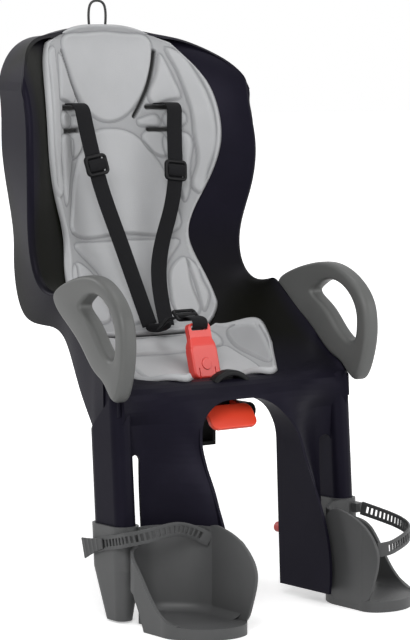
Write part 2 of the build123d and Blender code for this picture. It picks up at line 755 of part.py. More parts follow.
# Release lever: a slanted paddle on two arms that turn on a pin in the bracket's nose
lever_run = lever_top_y - lever_low_y
lever_rise = lever_top_z - lever_low_z
lever_height = math.hypot(lever_run, lever_rise)
lever_plane = Plane(origin=(0, (lever_top_y + lever_low_y) / 2, (lever_top_z + lever_low_z) / 2),
                    x_dir=(1, 0, 0), z_dir=(0, -lever_rise, lever_run))
paddle_face = RectangleRounded(2 * lever_half, lever_height, lever_height / 3)
paddle = extrude(lever_plane.offset(-lever_thickness / 2) * paddle_face, amount=lever_thickness)
paddle = fillet(paddle.edges(), 1.5)
lever = paddle
lever_eye = 7.0
arm_outline_low = [(pivot_y + 2, pivot_z - lever_eye), (lever_low_y + 14, lever_low_z + 10)]
arm_outline_high = [(lever_top_y - 4, lever_top_z - 6), (pivot_y - 8, pivot_z + lever_eye - 1),
                    (pivot_y, pivot_z + lever_eye)]
arm_face = make_face(Polyline(*arm_outline_low, *arm_outline_high, close=True))
for side in (1, -1):
    low_x = min(side * lever_arm_x, side * (lever_arm_x + lever_arm_width))
    lever = lever + side_prism(arm_face, low_x, low_x + lever_arm_width)
    eye_x = side * (lever_arm_x + lever_arm_width / 2)
    lever = lever + Pos(eye_x, pivot_y, pivot_z) * Rot(0, 90, 0) * Cylinder(lever_eye, lever_arm_width)
lever = lever - pivot_place * Cylinder(pivot_diameter / 2, far)
pin = pivot_place * Cylinder(pivot_diameter / 2, 2 * (lever_arm_x + lever_arm_width))
export_step(lever, "parts/release_lever.step")
export_step(pin, "parts/lever_pin.step")

# Footrests: a sleeve on the post, an open foot cup in front of it and a latch behind the guard
cup_low = cup_floor - cup_floor_thickness
cup_middle = (cup_inner + cup_outer) / 2
back_line = [(cup_outer, -152), (cup_outer - 9, -133), (cup_outer - 29, -125), (cup_middle, -126),
             (cup_inner + 30, -139), (cup_inner + 12, -157), (cup_inner, -185)]
toe_line = [(cup_inner, cup_front + 26), (cup_inner + 6, cup_front + 4), (cup_inner + 26, cup_front - 6),
            (cup_middle + 1.5, cup_front - 5), (cup_outer - 20, cup_front + 12),
            (cup_outer - 3, cup_front + 34), (cup_outer, cup_front + 56)]
inner_edge = [(-183, -76), (-210, -78), (-241, -89), (-263, -106), (-272, -120), (-266, -142), (-246, -175),
              (-236, cup_floor + 1)]
outer_edge = [(-100, -96), (-120, -98), (-141, -109), (-170, -140), (-204, -175), (-232, cup_floor + 3)]


def foot_cup():
    """Moulded tub, open to the toe, with a tall fanned inner wall and a low outer one."""
    sides = [Line(back_line[-1], toe_line[0]), Line(toe_line[-1], back_line[0])]
    outer = make_face(Curve() + [Spline(*back_line), Spline(*toe_line)] + sides)
    cup = extrude(Plane.XY.offset(cup_low) * outer, amount=cup_back_top - cup_low)
    room_rear = offset_curve(back_line, cup_wall)
    room_rear[0] = (cup_outer - cup_wall, room_rear[0][1])
    room_rear[-1] = (cup_inner + cup_wall, room_rear[-1][1])
    room_plan = closed_outline(room_rear, [(cup_inner + cup_wall, -far), (cup_outer - cup_wall, -far)])
    room = extrude(Plane.XY.offset(cup_floor) * room_plan, amount=far)
    floor_rim = [e for e in room.edges() if abs(e.center().Z - cup_floor) < 0.01 and e.center().Y > -300]
    room = fillet(floor_rim, cup_round)
    base = cup_low - 1
    step_x = cup_inner + 40
    outer_x = cup_outer - 26
    inner_close = [(-far, cup_floor + 1), (-far, base), (-100, base), (-100, cup_back_top + 2)]
    heights = side_prism(closed_outline(inner_edge, inner_close), cup_inner - 1, step_x)
    heights = heights + block_between((step_x - 1, -far, base), (cup_outer + 1, 0, cup_floor + 1))
    heights = heights + block_between((step_x - 1, -175, base), (outer_x + 1, -100, cup_back_top))
    outer_face = closed_outline(outer_edge, [(-232, base), (-100, base)])
    heights = heights + side_prism(outer_face, outer_x, cup_outer + 1)
    heel_line = [(-100, base - 1), (-172, base - 1), (-163, -182), (-149, -157), (-100, -140)]
    heel_gap = side_prism(make_face(Polyline(*heel_line, close=True)), outer_x, cup_outer + 2)
    return (cup - room) & (heights - heel_gap)


def footrest(side):
    sleeve = leg_solid(1, sleeve_top, sleeve_full_foot, sleeve_foot, slide_clearance + sleeve_wall,
                       sleeve_tip_width, sleeve_tip_depth)
    cavity = leg_solid(1, sleeve_top + slide_travel + 10, sleeve_full_foot + 2, sleeve_foot - 1,
                       slide_clearance, sleeve_tip_width - 2 * sleeve_wall, sleeve_tip_depth - 2 * sleeve_wall)
    latch = block_between((latch_inner, latch_front, latch_foot), (post_inner - 1, latch_rear, latch_top))
    catch = block_between((cup_outer - 16, -134, -96), (cup_outer - 2, -118, -84))
    bore = Pos(button_x, latch_front + 2, button_z) * Rot(-90, 0, 0)
    bore = bore * Cylinder(button_diameter / 2 + press_clearance, far,
                           align=(Align.CENTER, Align.CENTER, Align.MIN))
    rest = sleeve + foot_cup() + latch + catch
    rest = rest - cavity - bore
    if side < 0:
        rest = mirror(rest, about=Plane.YZ)
    return rest


def height_button(side):
    length = latch_rear + button_reach - (latch_front + 2 + button_travel + 1)
    place = Pos(side * button_x, latch_rear + button_reach - length / 2, button_z) * Rot(-90, 0, 0)
    stem = place * Cylinder(button_diameter / 2, length)
    return fillet(stem.edges().sort_by(Axis.Y)[-1], 2)


upright = Vector(0, 0, 1)
foot_web = 18.0
foot_web_thickness = 2.5
side_face = cup_outer + 1 + foot_web_thickness / 2 + press_clearance
inner_face = cup_inner + cup_wall + foot_web_thickness / 2 + press_clearance
right_foot_path = [(-side_face, -56, -111), (-side_face, -99, -99), (-side_face, -118, -95),
                   (0.7 - side_face, -140, -89.5), (17 - cup_outer, -164, -82), (-cup_middle - 1.5, -172, -77),
                   (-cup_inner - 30, -174, -82), (-inner_face - 9.5, -181, -90), (-inner_face, -195, -98)]
left_foot_path = [(cup_outer - 9, -136, -90), (cup_outer - 1, -165, -96), (cup_outer - 4, -215, -103),
                  (cup_outer - 21, -244, -108), (cup_middle - 6.5, -262, -115), (cup_inner + 20, -268, -118),
                  (inner_face, -266, -119)]
foot_paths = {1: left_foot_path, -1: right_foot_path}
for side, name in ((1, "left"), (-1, "right")):
    rest = footrest(side)
    export_step(largest(rest), f"parts/footrest_{name}.step")
    export_step(height_button(side), f"parts/height_button_{name}.step")
    strap = webbing(foot_paths[side], upright, foot_web, foot_web_thickness)
    export_step(strap, f"parts/foot_strap_{name}.step")

# Hang loop on the crown
loop_y = 200.0
loop_low = top_height + 0.8
loop_top = top_height + loop_rise
loop_points = [(-loop_half, loop_y, loop_low), (-loop_half - 2, loop_y, loop_low + 18), (-10, loop_y, loop_top),
               (10, loop_y, loop_top), (loop_half + 2, loop_y, loop_low + 18), (loop_half, loop_y, loop_low)]


def corner_radii(points):
    """Largest tangent arc at each inner corner: 0.45 of the shorter run over the tangent of half the turn."""
    radii = []
    for a, b, c in zip(points, points[1:], points[2:]):
        first = Vector(*b) - Vector(*a)
        second = Vector(*c) - Vector(*b)
        turned = math.radians(first.get_angle(second))
        radii.append(0.45 * min(first.length, second.length) / math.tan(turned / 2))
    return radii


loop_radii = corner_radii(loop_points)
print("cord radii", [round(r, 1) for r in loop_radii])
loop_line = FilletPolyline(*loop_points, radius=loop_radii)
loop_start = Plane(origin=loop_points[0], z_dir=loop_line % 0)
hang_loop = sweep(loop_start * Circle(cord_diameter / 2), path=loop_line)
export_step(hang_loop, "parts/hang_loop.step")
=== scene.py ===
import math
import bpy
import numpy as np
from mathutils import Matrix, Vector


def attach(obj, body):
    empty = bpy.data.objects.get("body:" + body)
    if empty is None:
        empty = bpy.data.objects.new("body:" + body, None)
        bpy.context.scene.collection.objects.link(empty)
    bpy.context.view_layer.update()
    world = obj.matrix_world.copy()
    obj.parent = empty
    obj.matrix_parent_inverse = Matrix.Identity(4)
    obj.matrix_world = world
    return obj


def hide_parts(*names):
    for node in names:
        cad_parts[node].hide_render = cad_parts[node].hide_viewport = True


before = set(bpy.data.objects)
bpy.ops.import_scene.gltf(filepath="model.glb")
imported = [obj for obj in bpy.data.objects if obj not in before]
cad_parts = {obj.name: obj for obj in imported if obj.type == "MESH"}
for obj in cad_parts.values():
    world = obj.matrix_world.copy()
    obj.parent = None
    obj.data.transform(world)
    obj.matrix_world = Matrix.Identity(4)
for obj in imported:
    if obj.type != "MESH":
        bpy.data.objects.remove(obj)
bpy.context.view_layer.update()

scene = bpy.context.scene
scene.view_settings.view_transform = "Standard"
mm = 0.001
print("frame loaded,", len(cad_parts), "nodes")


# Camera at the photograph's angle, about 38 degrees to the child's right
cameraView = {"place": (-2.09907, -2.72669, 0.49195), "right": (0.78801, -0.61566, 0.0),
              "up": (0.05858, 0.07498, 0.99546), "back": (-0.61287, -0.78444, 0.09515),
              "lens": 146.91, "sensor": 36, "reach": 60}
cameraData = bpy.data.cameras.new("photoCamera")
cameraData.lens = cameraView["lens"]
cameraData.sensor_width = cameraView["sensor"]
cameraData.clip_end = cameraView["reach"]
camera = bpy.data.objects.new("photoCamera", cameraData)
axes = Matrix((cameraView["right"], cameraView["up"], cameraView["back"])).transposed().to_4x4()
camera.matrix_world = Matrix.Translation(cameraView["place"]) @ axes
scene.collection.objects.link(camera)
scene.camera = camera


# Mesh helpers: every piece is a grid of points, rows along it and columns across it
def putMesh(name, points, faces, uvPerLoop=None):
    mesh = bpy.data.meshes.new(name)
    mesh.from_pydata(np.asarray(points).reshape(-1, 3).tolist(), [], faces)
    if uvPerLoop is not None:
        layer = mesh.uv_layers.new(name="UVMap")
        layer.data.foreach_set("uv", np.asarray(uvPerLoop, np.float32).ravel())
    mesh.polygons.foreach_set("use_smooth", np.ones(len(mesh.polygons), bool))
    mesh.update()
    piece = bpy.data.objects.new(name, mesh)
    scene.collection.objects.link(piece)
    return piece


def gridFaces(rows, cols, ringAcross=False, ringAlong=False):
    # each quad joins point (r, c) to (r, c+1), (r+1, c+1) and (r+1, c), wrapping where a ring closes
    r, c = np.meshgrid(np.arange(rows if ringAlong else rows - 1),
                       np.arange(cols if ringAcross else cols - 1), indexing="ij")
    rNext, cNext = (r + 1) % rows, (c + 1) % cols
    quads = np.stack([r * cols + c, r * cols + cNext, rNext * cols + cNext, rNext * cols + c], -1)
    corners = np.stack([np.stack([r, r, r + 1, r + 1], -1), np.stack([c, c + 1, c + 1, c], -1)], -1)
    return quads.reshape(-1, 4), corners.reshape(-1, 4, 2)


def splineMatrix(knots, query):
    # natural cubic spline as a matrix: value(query) = matrix @ value(knots)
    n, h = len(knots), np.diff(knots)
    lhs, rhs = np.eye(n), np.zeros((n, n))
    i = np.arange(1, n - 1)
    lhs[i, i - 1], lhs[i, i], lhs[i, i + 1] = h[:-1], 2 * (h[:-1] + h[1:]), h[1:]
    rhs[i, i - 1], rhs[i, i], rhs[i, i + 1] = 6 / h[:-1], -6 / h[:-1] - 6 / h[1:], 6 / h[1:]
    bend = np.linalg.solve(lhs, rhs)
    j = np.clip(np.searchsorted(knots, query) - 1, 0, n - 2)
    a = ((knots[j + 1] - query) / h[j])[..., None]
    b = 1 - a
    step = (h[j] ** 2 / 6)[..., None]
    eye = np.eye(n)
    return a * eye[j] + b * eye[j + 1] + (a ** 3 - a) * step * bend[j] + (b ** 3 - b) * step * bend[j + 1]


def smoothPath(points, count, ring=False):
    # spline through the points at even chord length; a ring repeats three points at each end
    points = np.asarray(points, float)
    if ring:
        points = np.concatenate([points[-3:], points, points[:4]])
    knots = np.concatenate([[0], np.cumsum(np.linalg.norm(np.diff(points, axis=0), axis=1))])
    if ring:
        query = np.linspace(knots[3], knots[-4], count, endpoint=False)
    else:
        query = np.linspace(0, knots[-1], count)
    return splineMatrix(knots, query) @ points


def unit(vectors):
    # each vector over its own length
    return vectors / np.linalg.norm(vectors, axis=-1, keepdims=True)


def pathFrames(path, across, ring=False):
    # tangent by central difference, width square to it along the wanted direction, normal from the two
    if ring:
        ahead = np.roll(path, -1, 0) - np.roll(path, 1, 0)
    else:
        ahead = np.gradient(path, axis=0)
    ahead = unit(ahead)
    across = np.broadcast_to(np.asarray(across, float), path.shape)
    wide = unit(across - ahead * np.sum(across * ahead, -1, keepdims=True))
    return ahead, wide, np.cross(ahead, wide)


def roundedBox(halfLong, halfThick, radius, perCorner=5):
    # outline of a rectangle with round corners, anticlockwise; the sizes may change along a path
    turn = np.linspace(0, math.pi / 2, perCorner)
    angle = np.concatenate([turn + k * math.pi / 2 for k in range(4)])
    signX = np.repeat([1, -1, -1, 1], perCorner)
    signY = np.repeat([1, 1, -1, -1], perCorner)
    halfLong = np.asarray(halfLong, float)[..., None]
    halfThick = np.asarray(halfThick, float)[..., None]
    radius = np.asarray(radius, float)[..., None]
    x = signX * (halfLong - radius) + radius * np.cos(angle)
    y = signY * (halfThick - radius) + radius * np.sin(angle)
    return x, y


def sweep(name, path, wide, normal, x, y, ring=False):
    # point(r, c) = path(r) + wide(r) x(c) + normal(r) y(c); ends are capped unless the path is a ring
    x, y = (np.broadcast_to(value, (len(path), value.shape[-1])) for value in (x, y))
    points = path[:, None] + wide[:, None] * x[..., None] + normal[:, None] * y[..., None]
    rows, cols = points.shape[:2]
    quads, corners = gridFaces(rows, cols, True, ring)
    faces = quads.tolist()
    length = np.concatenate([[0], np.cumsum(np.linalg.norm(np.diff(path, axis=0), axis=1))])
    length = np.append(length, 2 * length[-1] - length[-2])
    girth = np.linspace(0, 1, cols + 1)
    uv = np.stack([girth[corners[..., 1]], length[corners[..., 0]]], -1).reshape(-1, 2)
    if not ring:
        faces += [list(range(cols))[::-1], list(range((rows - 1) * cols, rows * cols))]
        uv = np.concatenate([uv, np.zeros((2 * cols, 2))])
    return putMesh(name, points, faces, uv)


def rodAlong(name, path, across, halfWide, halfTall, ring=False, sides=14):
    # an ellipse carried along the path: half width times cosine, half height times sine
    _, wide, normal = pathFrames(path, across, ring)
    angle = np.linspace(0, 2 * math.pi, sides, endpoint=False)
    return sweep(name, path * mm, wide, normal, np.cos(angle) * halfWide * mm, np.sin(angle) * halfTall * mm, ring)


def bandAlong(name, path, across, halfWide, halfThick, radius, perCorner=5):
    # a rectangle with round corners carried along the path
    _, wide, normal = pathFrames(path, across)
    x, y = roundedBox(halfWide, halfThick, radius, perCorner)
    return sweep(name, path * mm, wide, normal, x * mm, y * mm)


def dress(piece, material, body, replaced):
    # the finish, the body it moves with, the solids it stands for and the slot of its material
    piece.data.materials.append(material)
    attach(piece, body)
    if replaced:
        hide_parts(*replaced)


# Shader node groups that several finishes share
def newGroup(name, inputs, outputs):
    # an input is a colour where its value is a tuple, an output where it is called Color; the rest are numbers
    group = bpy.data.node_groups.new(name, "ShaderNodeTree")
    for label, value in inputs.items():
        kind = "NodeSocketColor" if isinstance(value, tuple) else "NodeSocketFloat"
        group.interface.new_socket(name=label, in_out="INPUT", socket_type=kind).default_value = value
    for label in outputs:
        kind = "NodeSocketColor" if label == "Color" else "NodeSocketFloat"
        group.interface.new_socket(name=label, in_out="OUTPUT", socket_type=kind)
    return group, group.nodes.new("NodeGroupInput"), group.nodes.new("NodeGroupOutput")


def wire(tree, source, target):
    tree.links.new(target, source)


def mathNode(tree, operation, a, b=None):
    node = tree.nodes.new("ShaderNodeMath")
    node.operation = operation
    for socket, value in zip(node.inputs, (a, b)):
        if value is None:
            continue
        if isinstance(value, (int, float)):
            socket.default_value = value
        else:
            wire(tree, value, socket)
    return node.outputs[0]


def noiseNode(tree, coordinates, scale, detail=3.0, roughness=0.55):
    node = tree.nodes.new("ShaderNodeTexNoise")
    node.inputs["Detail"].default_value = detail
    node.inputs["Roughness"].default_value = roughness
    if isinstance(scale, (int, float)):
        node.inputs["Scale"].default_value = scale
    else:
        wire(tree, scale, node.inputs["Scale"])
    wire(tree, coordinates, node.inputs["Vector"])
    return node.outputs["Fac"]


def rampNode(tree, value, low, high):
    node = tree.nodes.new("ShaderNodeMapRange")
    node.inputs["From Min"].default_value = low
    node.inputs["From Max"].default_value = high
    wire(tree, value, node.inputs["Value"])
    return node.outputs["Result"]


def mixColor(tree, factor, a, b):
    node = tree.nodes.new("ShaderNodeMix")
    node.data_type = "RGBA"
    for place, value in ((0, factor), (6, a), (7, b)):  # the mix node's own sockets for factor and colours
        socket = node.inputs[place]
        if isinstance(value, tuple):
            socket.default_value = value
        else:
            wire(tree, value, socket)
    return node.outputs[2]


def weighted(tree, a, weightA, b, weightB):
    # each value times its own weight, added
    return mathNode(tree, "ADD", mathNode(tree, "MULTIPLY", a, weightA), mathNode(tree, "MULTIPLY", b, weightB))


# Moulded plastic: spark-eroded grain, slow tone drift and faint handling marks
grainLook = {"drift": 14.0, "marks": 60.0, "markRange": (0.58, 0.75), "driftTone": 0.75, "markTone": 0.3,
             "fineRough": 0.5, "markRough": 0.5, "roughMiddle": 0.3}
grainGroup, gIn, gOut = newGroup("mouldGrain", {
    "Color": (0.1, 0.1, 0.1, 1), "Lit": (0.15, 0.15, 0.15, 1), "Grain Scale": 900.0, "Roughness": 0.45,
    "Spread": 0.12}, ("Color", "Roughness", "Height"))
place = grainGroup.nodes.new("ShaderNodeTexCoord").outputs["Object"]
fine = noiseNode(grainGroup, place, gIn.outputs["Grain Scale"], 2.0, 0.7)
drift = noiseNode(grainGroup, place, grainLook["drift"], 4.0)
marks = rampNode(grainGroup, noiseNode(grainGroup, place, grainLook["marks"], 6.0, 0.75), *grainLook["markRange"])
tone = weighted(grainGroup, drift, grainLook["driftTone"], marks, grainLook["markTone"])
wire(grainGroup, mixColor(grainGroup, tone, gIn.outputs["Color"], gIn.outputs["Lit"]), gOut.inputs["Color"])
change = weighted(grainGroup, fine, grainLook["fineRough"], marks, grainLook["markRough"])
change = mathNode(grainGroup, "SUBTRACT", change, grainLook["roughMiddle"])
change = mathNode(grainGroup, "MULTIPLY", change, gIn.outputs["Spread"])
wire(grainGroup, mathNode(grainGroup, "ADD", gIn.outputs["Roughness"], change), gOut.inputs["Roughness"])
wire(grainGroup, fine, gOut.inputs["Height"])

# Webbing: ribs across the width with a twill slant, painted shade in the hollows and painted light on the raised ribs,
# and a little fuzz
weaveLook = {"fuzz": 1500.0, "fuzzLift": 0.35}
weaveGroup, gIn, gOut = newGroup("webWeave", {
    "Color": (0.02, 0.02, 0.02, 1), "Lit": (0.06, 0.06, 0.06, 1), "Ribs": 700.0, "Threads": 60.0},
    ("Color", "Height"))
uvMap = weaveGroup.nodes.new("ShaderNodeTexCoord").outputs["UV"]
split = weaveGroup.nodes.new("ShaderNodeSeparateXYZ")
wire(weaveGroup, uvMap, split.inputs[0])
across = mathNode(weaveGroup, "MULTIPLY", split.outputs["X"], gIn.outputs["Threads"])
along = mathNode(weaveGroup, "MULTIPLY", split.outputs["Y"], gIn.outputs["Ribs"])
slant = mathNode(weaveGroup, "PINGPONG", mathNode(weaveGroup, "ADD", across, along), 0.5)
rib = mathNode(weaveGroup, "PINGPONG", along, 0.5)
lift = mathNode(weaveGroup, "ADD", slant, rib)
place = weaveGroup.nodes.new("ShaderNodeTexCoord").outputs["Object"]
fuzz = noiseNode(weaveGroup, place, weaveLook["fuzz"], 2.0)
lift = mathNode(weaveGroup, "ADD", lift, mathNode(weaveGroup, "MULTIPLY", fuzz, weaveLook["fuzzLift"]))
# colour by height: painted shade low in the weave, painted light high on it
wire(weaveGroup, mixColor(weaveGroup, lift, gIn.outputs["Color"], gIn.outputs["Lit"]), gOut.inputs["Color"])
wire(weaveGroup, lift, gOut.inputs["Height"])

# Padding: felted face with a fine pebble; one point attribute mixes in painted shade for the pressed channels and the
# thin sheet between the islands, and a second paints black where it marks an opening: the dark shell seen through it
# with painted shade in the gap
feltLook = {"fibre": 1300.0, "cloud": 22.0, "pebble": 700.0, "fibreRough": 0.2, "roughness": 0.72, "pebbleLift": 0.6}
feltGroup, gIn, gOut = newGroup("pressedFelt", {
    "Color": (0.4, 0.4, 0.4, 1), "Worn": (0.45, 0.45, 0.45, 1), "Channel Shade": (0.3, 0.3, 0.3, 1),
    "Cut Shade": (0.006, 0.006, 0.006, 1)}, ("Color", "Roughness", "Height"))
place = feltGroup.nodes.new("ShaderNodeTexCoord").outputs["Object"]
fibre = noiseNode(feltGroup, place, feltLook["fibre"], 3.0, 0.7)
cloud = noiseNode(feltGroup, place, feltLook["cloud"], 4.0)
pebble = feltGroup.nodes.new("ShaderNodeTexVoronoi")
pebble.inputs["Scale"].default_value = feltLook["pebble"]
wire(feltGroup, place, pebble.inputs["Vector"])
face = mixColor(feltGroup, cloud, gIn.outputs["Color"], gIn.outputs["Worn"])
# painted shade of the channels first, then the black of the openings
for label, tint in (("paintedShade", "Channel Shade"), ("cutShade", "Cut Shade")):
    marked = feltGroup.nodes.new("ShaderNodeAttribute")
    marked.attribute_name = label
    face = mixColor(feltGroup, marked.outputs["Fac"], face, gIn.outputs[tint])
wire(feltGroup, face, gOut.inputs["Color"])
rough = mathNode(feltGroup, "MULTIPLY", fibre, feltLook["fibreRough"])
wire(feltGroup, mathNode(feltGroup, "ADD", rough, feltLook["roughness"]), gOut.inputs["Roughness"])
raisedPebble = mathNode(feltGroup, "MULTIPLY", pebble.outputs["Distance"], feltLook["pebbleLift"])
wire(feltGroup, mathNode(feltGroup, "ADD", fibre, raisedPebble), gOut.inputs["Height"])


def finish(name, group, values, bump, constants):
    # a shared effect with its own values, a bump of (strength, distance), and constants on the shader itself
    material = bpy.data.materials.new(name)
    material.use_nodes = True
    tree = material.node_tree
    shader = tree.nodes["Principled BSDF"]
    effect = tree.nodes.new("ShaderNodeGroup")
    effect.node_tree = group
    for label, value in values.items():
        effect.inputs[label].default_value = value
    for label in ("Color", "Roughness"):
        if label in effect.outputs:
            wire(tree, effect.outputs[label], shader.inputs["Base Color" if label == "Color" else label])
    relief = tree.nodes.new("ShaderNodeBump")
    relief.inputs["Strength"].default_value = bump[0]
    relief.inputs["Distance"].default_value = bump[1]
    wire(tree, effect.outputs["Height"], relief.inputs["Height"])
    wire(tree, relief.outputs["Normal"], shader.inputs["Normal"])
    for label, value in constants.items():
        shader.inputs[label].default_value = value
    return material


def plastic(name, dark, lit, grain, roughness, spread, bump, constants):
    values = {"Color": dark + (1,), "Lit": lit + (1,), "Grain Scale": grain, "Roughness": roughness,
              "Spread": spread}
    return finish(name, grainGroup, values, bump, constants)


# Shell: painted shade inside the bucket turns the black darker and olive, except high on the left wing; ramps on the
# place, in metres, pick the tint
shellTone = {"dark": (0.004, 0.0036, 0.0068), "lit": (0.0105, 0.0094, 0.0168),
             "shadedInnerDark": (0.0026, 0.0028, 0.0014), "shadedInnerLit": (0.006, 0.0063, 0.0033),
             "side": (0.164, 0.18), "behind": (0.15, 0.19), "below": (0.14, 0.09),
             "wingX": (0.0, 0.05), "wingZ": (0.18, 0.3)}
shellBlack = plastic("shellBlack", shellTone["dark"], shellTone["lit"], 1100.0, 0.42, 0.14, (0.3, 0.0004),
                     {"Specular IOR Level": 0.07, "Specular Tint": (0.8, 0.76, 1.0, 1)})
tree = shellBlack.node_tree
spot = tree.nodes.new("ShaderNodeSeparateXYZ")
wire(tree, tree.nodes.new("ShaderNodeTexCoord").outputs["Object"], spot.inputs[0])
# where any of these ramps reaches 1 the shell keeps its plain black; the rest of the hollow gets the painted shade
outside = rampNode(tree, mathNode(tree, "ABSOLUTE", spot.outputs["X"]), *shellTone["side"])
behind = rampNode(tree, spot.outputs["Y"], *shellTone["behind"])
below = rampNode(tree, spot.outputs["Z"], *shellTone["below"])
leftWing = mathNode(tree, "MULTIPLY", rampNode(tree, spot.outputs["X"], *shellTone["wingX"]),
                    rampNode(tree, spot.outputs["Z"], *shellTone["wingZ"]))
for zone in (behind, below, leftWing):
    outside = mathNode(tree, "MAXIMUM", outside, zone)
effect = next(node for node in tree.nodes if node.type == "GROUP")
# painted shade: darker olive copies of the shell's two tones, used inside the bucket
for label, inner, outer in (("Color", "shadedInnerDark", "dark"), ("Lit", "shadedInnerLit", "lit")):
    wire(tree, mixColor(tree, outside, shellTone[inner] + (1,), shellTone[outer] + (1,)), effect.inputs[label])
satin = {"Specular IOR Level": 0.35}
plasticLooks = {  # dark and lit tone, grain scale, roughness and its spread, bump, constants
    "armGrey": ((0.088, 0.09, 0.088), (0.115, 0.117, 0.114), 1300.0, 0.45, 0.1, (0.2, 0.0003), satin),
    "restGrey": ((0.06, 0.061, 0.062), (0.08, 0.081, 0.082), 1300.0, 0.48, 0.1, (0.22, 0.0003), satin),
    "trimBlack": ((0.003, 0.003, 0.0034), (0.008, 0.008, 0.009), 1400.0, 0.42, 0.12, (0.2, 0.0003),
                  {"Specular IOR Level": 0.15}),
    "buckleRed": ((0.66, 0.045, 0.035), (0.78, 0.07, 0.055), 1600.0, 0.36, 0.08, (0.08, 0.0002), {}),
    "leverRed": ((0.78, 0.05, 0.02), (0.88, 0.075, 0.03), 1600.0, 0.34, 0.08, (0.08, 0.0002), {}),
    "buttonRed": ((0.42, 0.04, 0.035), (0.5, 0.05, 0.045), 1600.0, 0.45, 0.1, (0.1, 0.0002), {}),
    "strapRubber": ((0.046, 0.047, 0.048), (0.064, 0.065, 0.066), 1500.0, 0.5, 0.1, (0.15, 0.0002), satin),
    "pinSteel": ((0.5, 0.5, 0.51), (0.62, 0.62, 0.63), 2200.0, 0.3, 0.15, (0.05, 0.0001), {"Metallic": 1.0}),
}
plastics = {name: plastic(name, *look) for name, look in plasticLooks.items()}
armGrey, restGrey, trimBlack, buckleRed, strapRubber = (
    plastics[name] for name in ("armGrey", "restGrey", "trimBlack", "buckleRed", "strapRubber"))
# the padding's darkest colour is painted shade for the channels
padGrey = finish("padGrey", feltGroup, {"Color": (0.4, 0.405, 0.415, 1), "Worn": (0.46, 0.465, 0.475, 1),
                                        "Channel Shade": (0.17, 0.173, 0.18, 1)}, (0.35, 0.0005), {"Sheen Weight": 0.1})
# the Lit tone of the webbing and cord is painted light on the raised threads
webBlack = finish("webBlack", weaveGroup, {"Color": (0.003, 0.003, 0.0035, 1), "Lit": (0.013, 0.013, 0.0145, 1),
                                           "Ribs": 620.0, "Threads": 34.0}, (0.5, 0.0005),
                  {"Roughness": 0.75, "Specular IOR Level": 0.08, "Sheen Weight": 0.03})
cordBlack = finish("cordBlack", weaveGroup, {"Color": (0.006, 0.006, 0.006, 1), "Lit": (0.03, 0.03, 0.03, 1),
                                             "Ribs": 900.0, "Threads": 12.0}, (0.5, 0.0004), {"Roughness": 0.7})
print("finishes ready")

# Finishes of the CAD nodes that show as they are
finishOf = {"shellBlack": ["seat_shell"], "trimBlack": ["carrier_bracket", "crotch_anchor"],
            "restGrey": ["footrest_left", "footrest_right"],
            "buckleRed": ["buckle_body", "buckle_button", "buckle_tongue"], "leverRed": ["release_lever"],
            "buttonRed": ["height_button_left", "height_button_right"], "pinSteel": ["lever_pin"],
            "webBlack": ["crotch_strap"]}
for materialName, nodeNames in finishOf.items():
    for nodeName in nodeNames:
        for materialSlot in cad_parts[nodeName].material_slots:
            materialSlot.material = bpy.data.materials[materialName]


# Hang loop: the cord's own route as a smooth curve
loopCord = {"points": [(-13.5, 200, 552.8), (-15.5, 200, 570.8), (-10, 200, 587), (10, 200, 587), (15.5, 200, 570.8),
                       (13.5, 200, 552.8)], "diameter": 3.5, "length": 0.086}
curve = bpy.data.curves.new("hangLoop", "CURVE")
curve.dimensions = "3D"
curve.bevel_depth = loopCord["diameter"] / 2 * mm
curve.bevel_resolution = 4
curve.resolution_u = 16
curve.use_fill_caps = True
line = curve.splines.new("NURBS")
line.points.add(len(loopCord["points"]) - 1)
for point, spot in zip(line.points, loopCord["points"]):
    point.co = (spot[0] * mm, spot[1] * mm, spot[2] * mm, 1)
line.order_u = 3
line.use_endpoint_u = True
hangLoop = bpy.data.objects.new("hangLoop", curve)
scene.collection.objects.link(hangLoop)
dress(hangLoop, cordBlack, "seat", ["hang_loop"])
print("hang loop")


# Crown rim: a round bead on the edge of the shell, from one wing over the crown to the other.
# At each depth y the crown's outline has half width, corner and top that change evenly from front to rear;
# x is the outline's half width at the rim's height.
crownRim = {"front": (20, 206, 92, 559), "rear": (240, 164.5, 80, 551), "drop": 14.0, "inset": 2.0, "radius": 2.5,
            "wing": [(186, 93, 400), (186, 93.5, 418), (185.3, 97, 436), (186, 101.5, 452)],
            "edge": [(102, 466), (110, 484), (124, 502), (152, 523), (176, 539), (198, 556)],
            "samples": 80, "every": 6, "topGap": 0.3, "leastX": 6, "rows": 260, "sides": 12}
depthY, rimZ = smoothPath(crownRim["edge"], crownRim["samples"]).T
share = (depthY - crownRim["front"][0]) / (crownRim["rear"][0] - crownRim["front"][0])
half, corner, crest = (a + (b - a) * share for a, b in zip(crownRim["front"][1:], crownRim["rear"][1:]))
sideTop, flat = crest - crownRim["drop"] - corner, half - corner
bend = (flat ** 2 + crownRim["drop"] ** 2) / (2 * crownRim["drop"])
onArc = np.sqrt(np.clip(bend ** 2 - (rimZ - crest + bend) ** 2, 0, None))
onCorner = flat + np.sqrt(np.clip(corner ** 2 - np.clip(rimZ - sideTop, 0, None) ** 2, 0, None))
rimX = np.where(rimZ > sideTop + corner, onArc, onCorner) - crownRim["inset"] * (rimZ < sideTop + corner)
keep = (rimZ < crest - crownRim["topGap"]) & (rimX > crownRim["leastX"])
onEdge = np.stack([rimX, depthY + crownRim["inset"], rimZ - crownRim["inset"]], -1)[keep]
rimSide = np.concatenate([crownRim["wing"], onEdge[::crownRim["every"]]])
rimPath = smoothPath(np.concatenate([rimSide, rimSide[::-1] * (-1, 1, 1)]), crownRim["rows"])
piece = rodAlong("crownRim", rimPath, (0, 1, 0.001), crownRim["radius"], crownRim["radius"], sides=crownRim["sides"])
dress(piece, shellBlack, "seat", ())
print("crown rim")


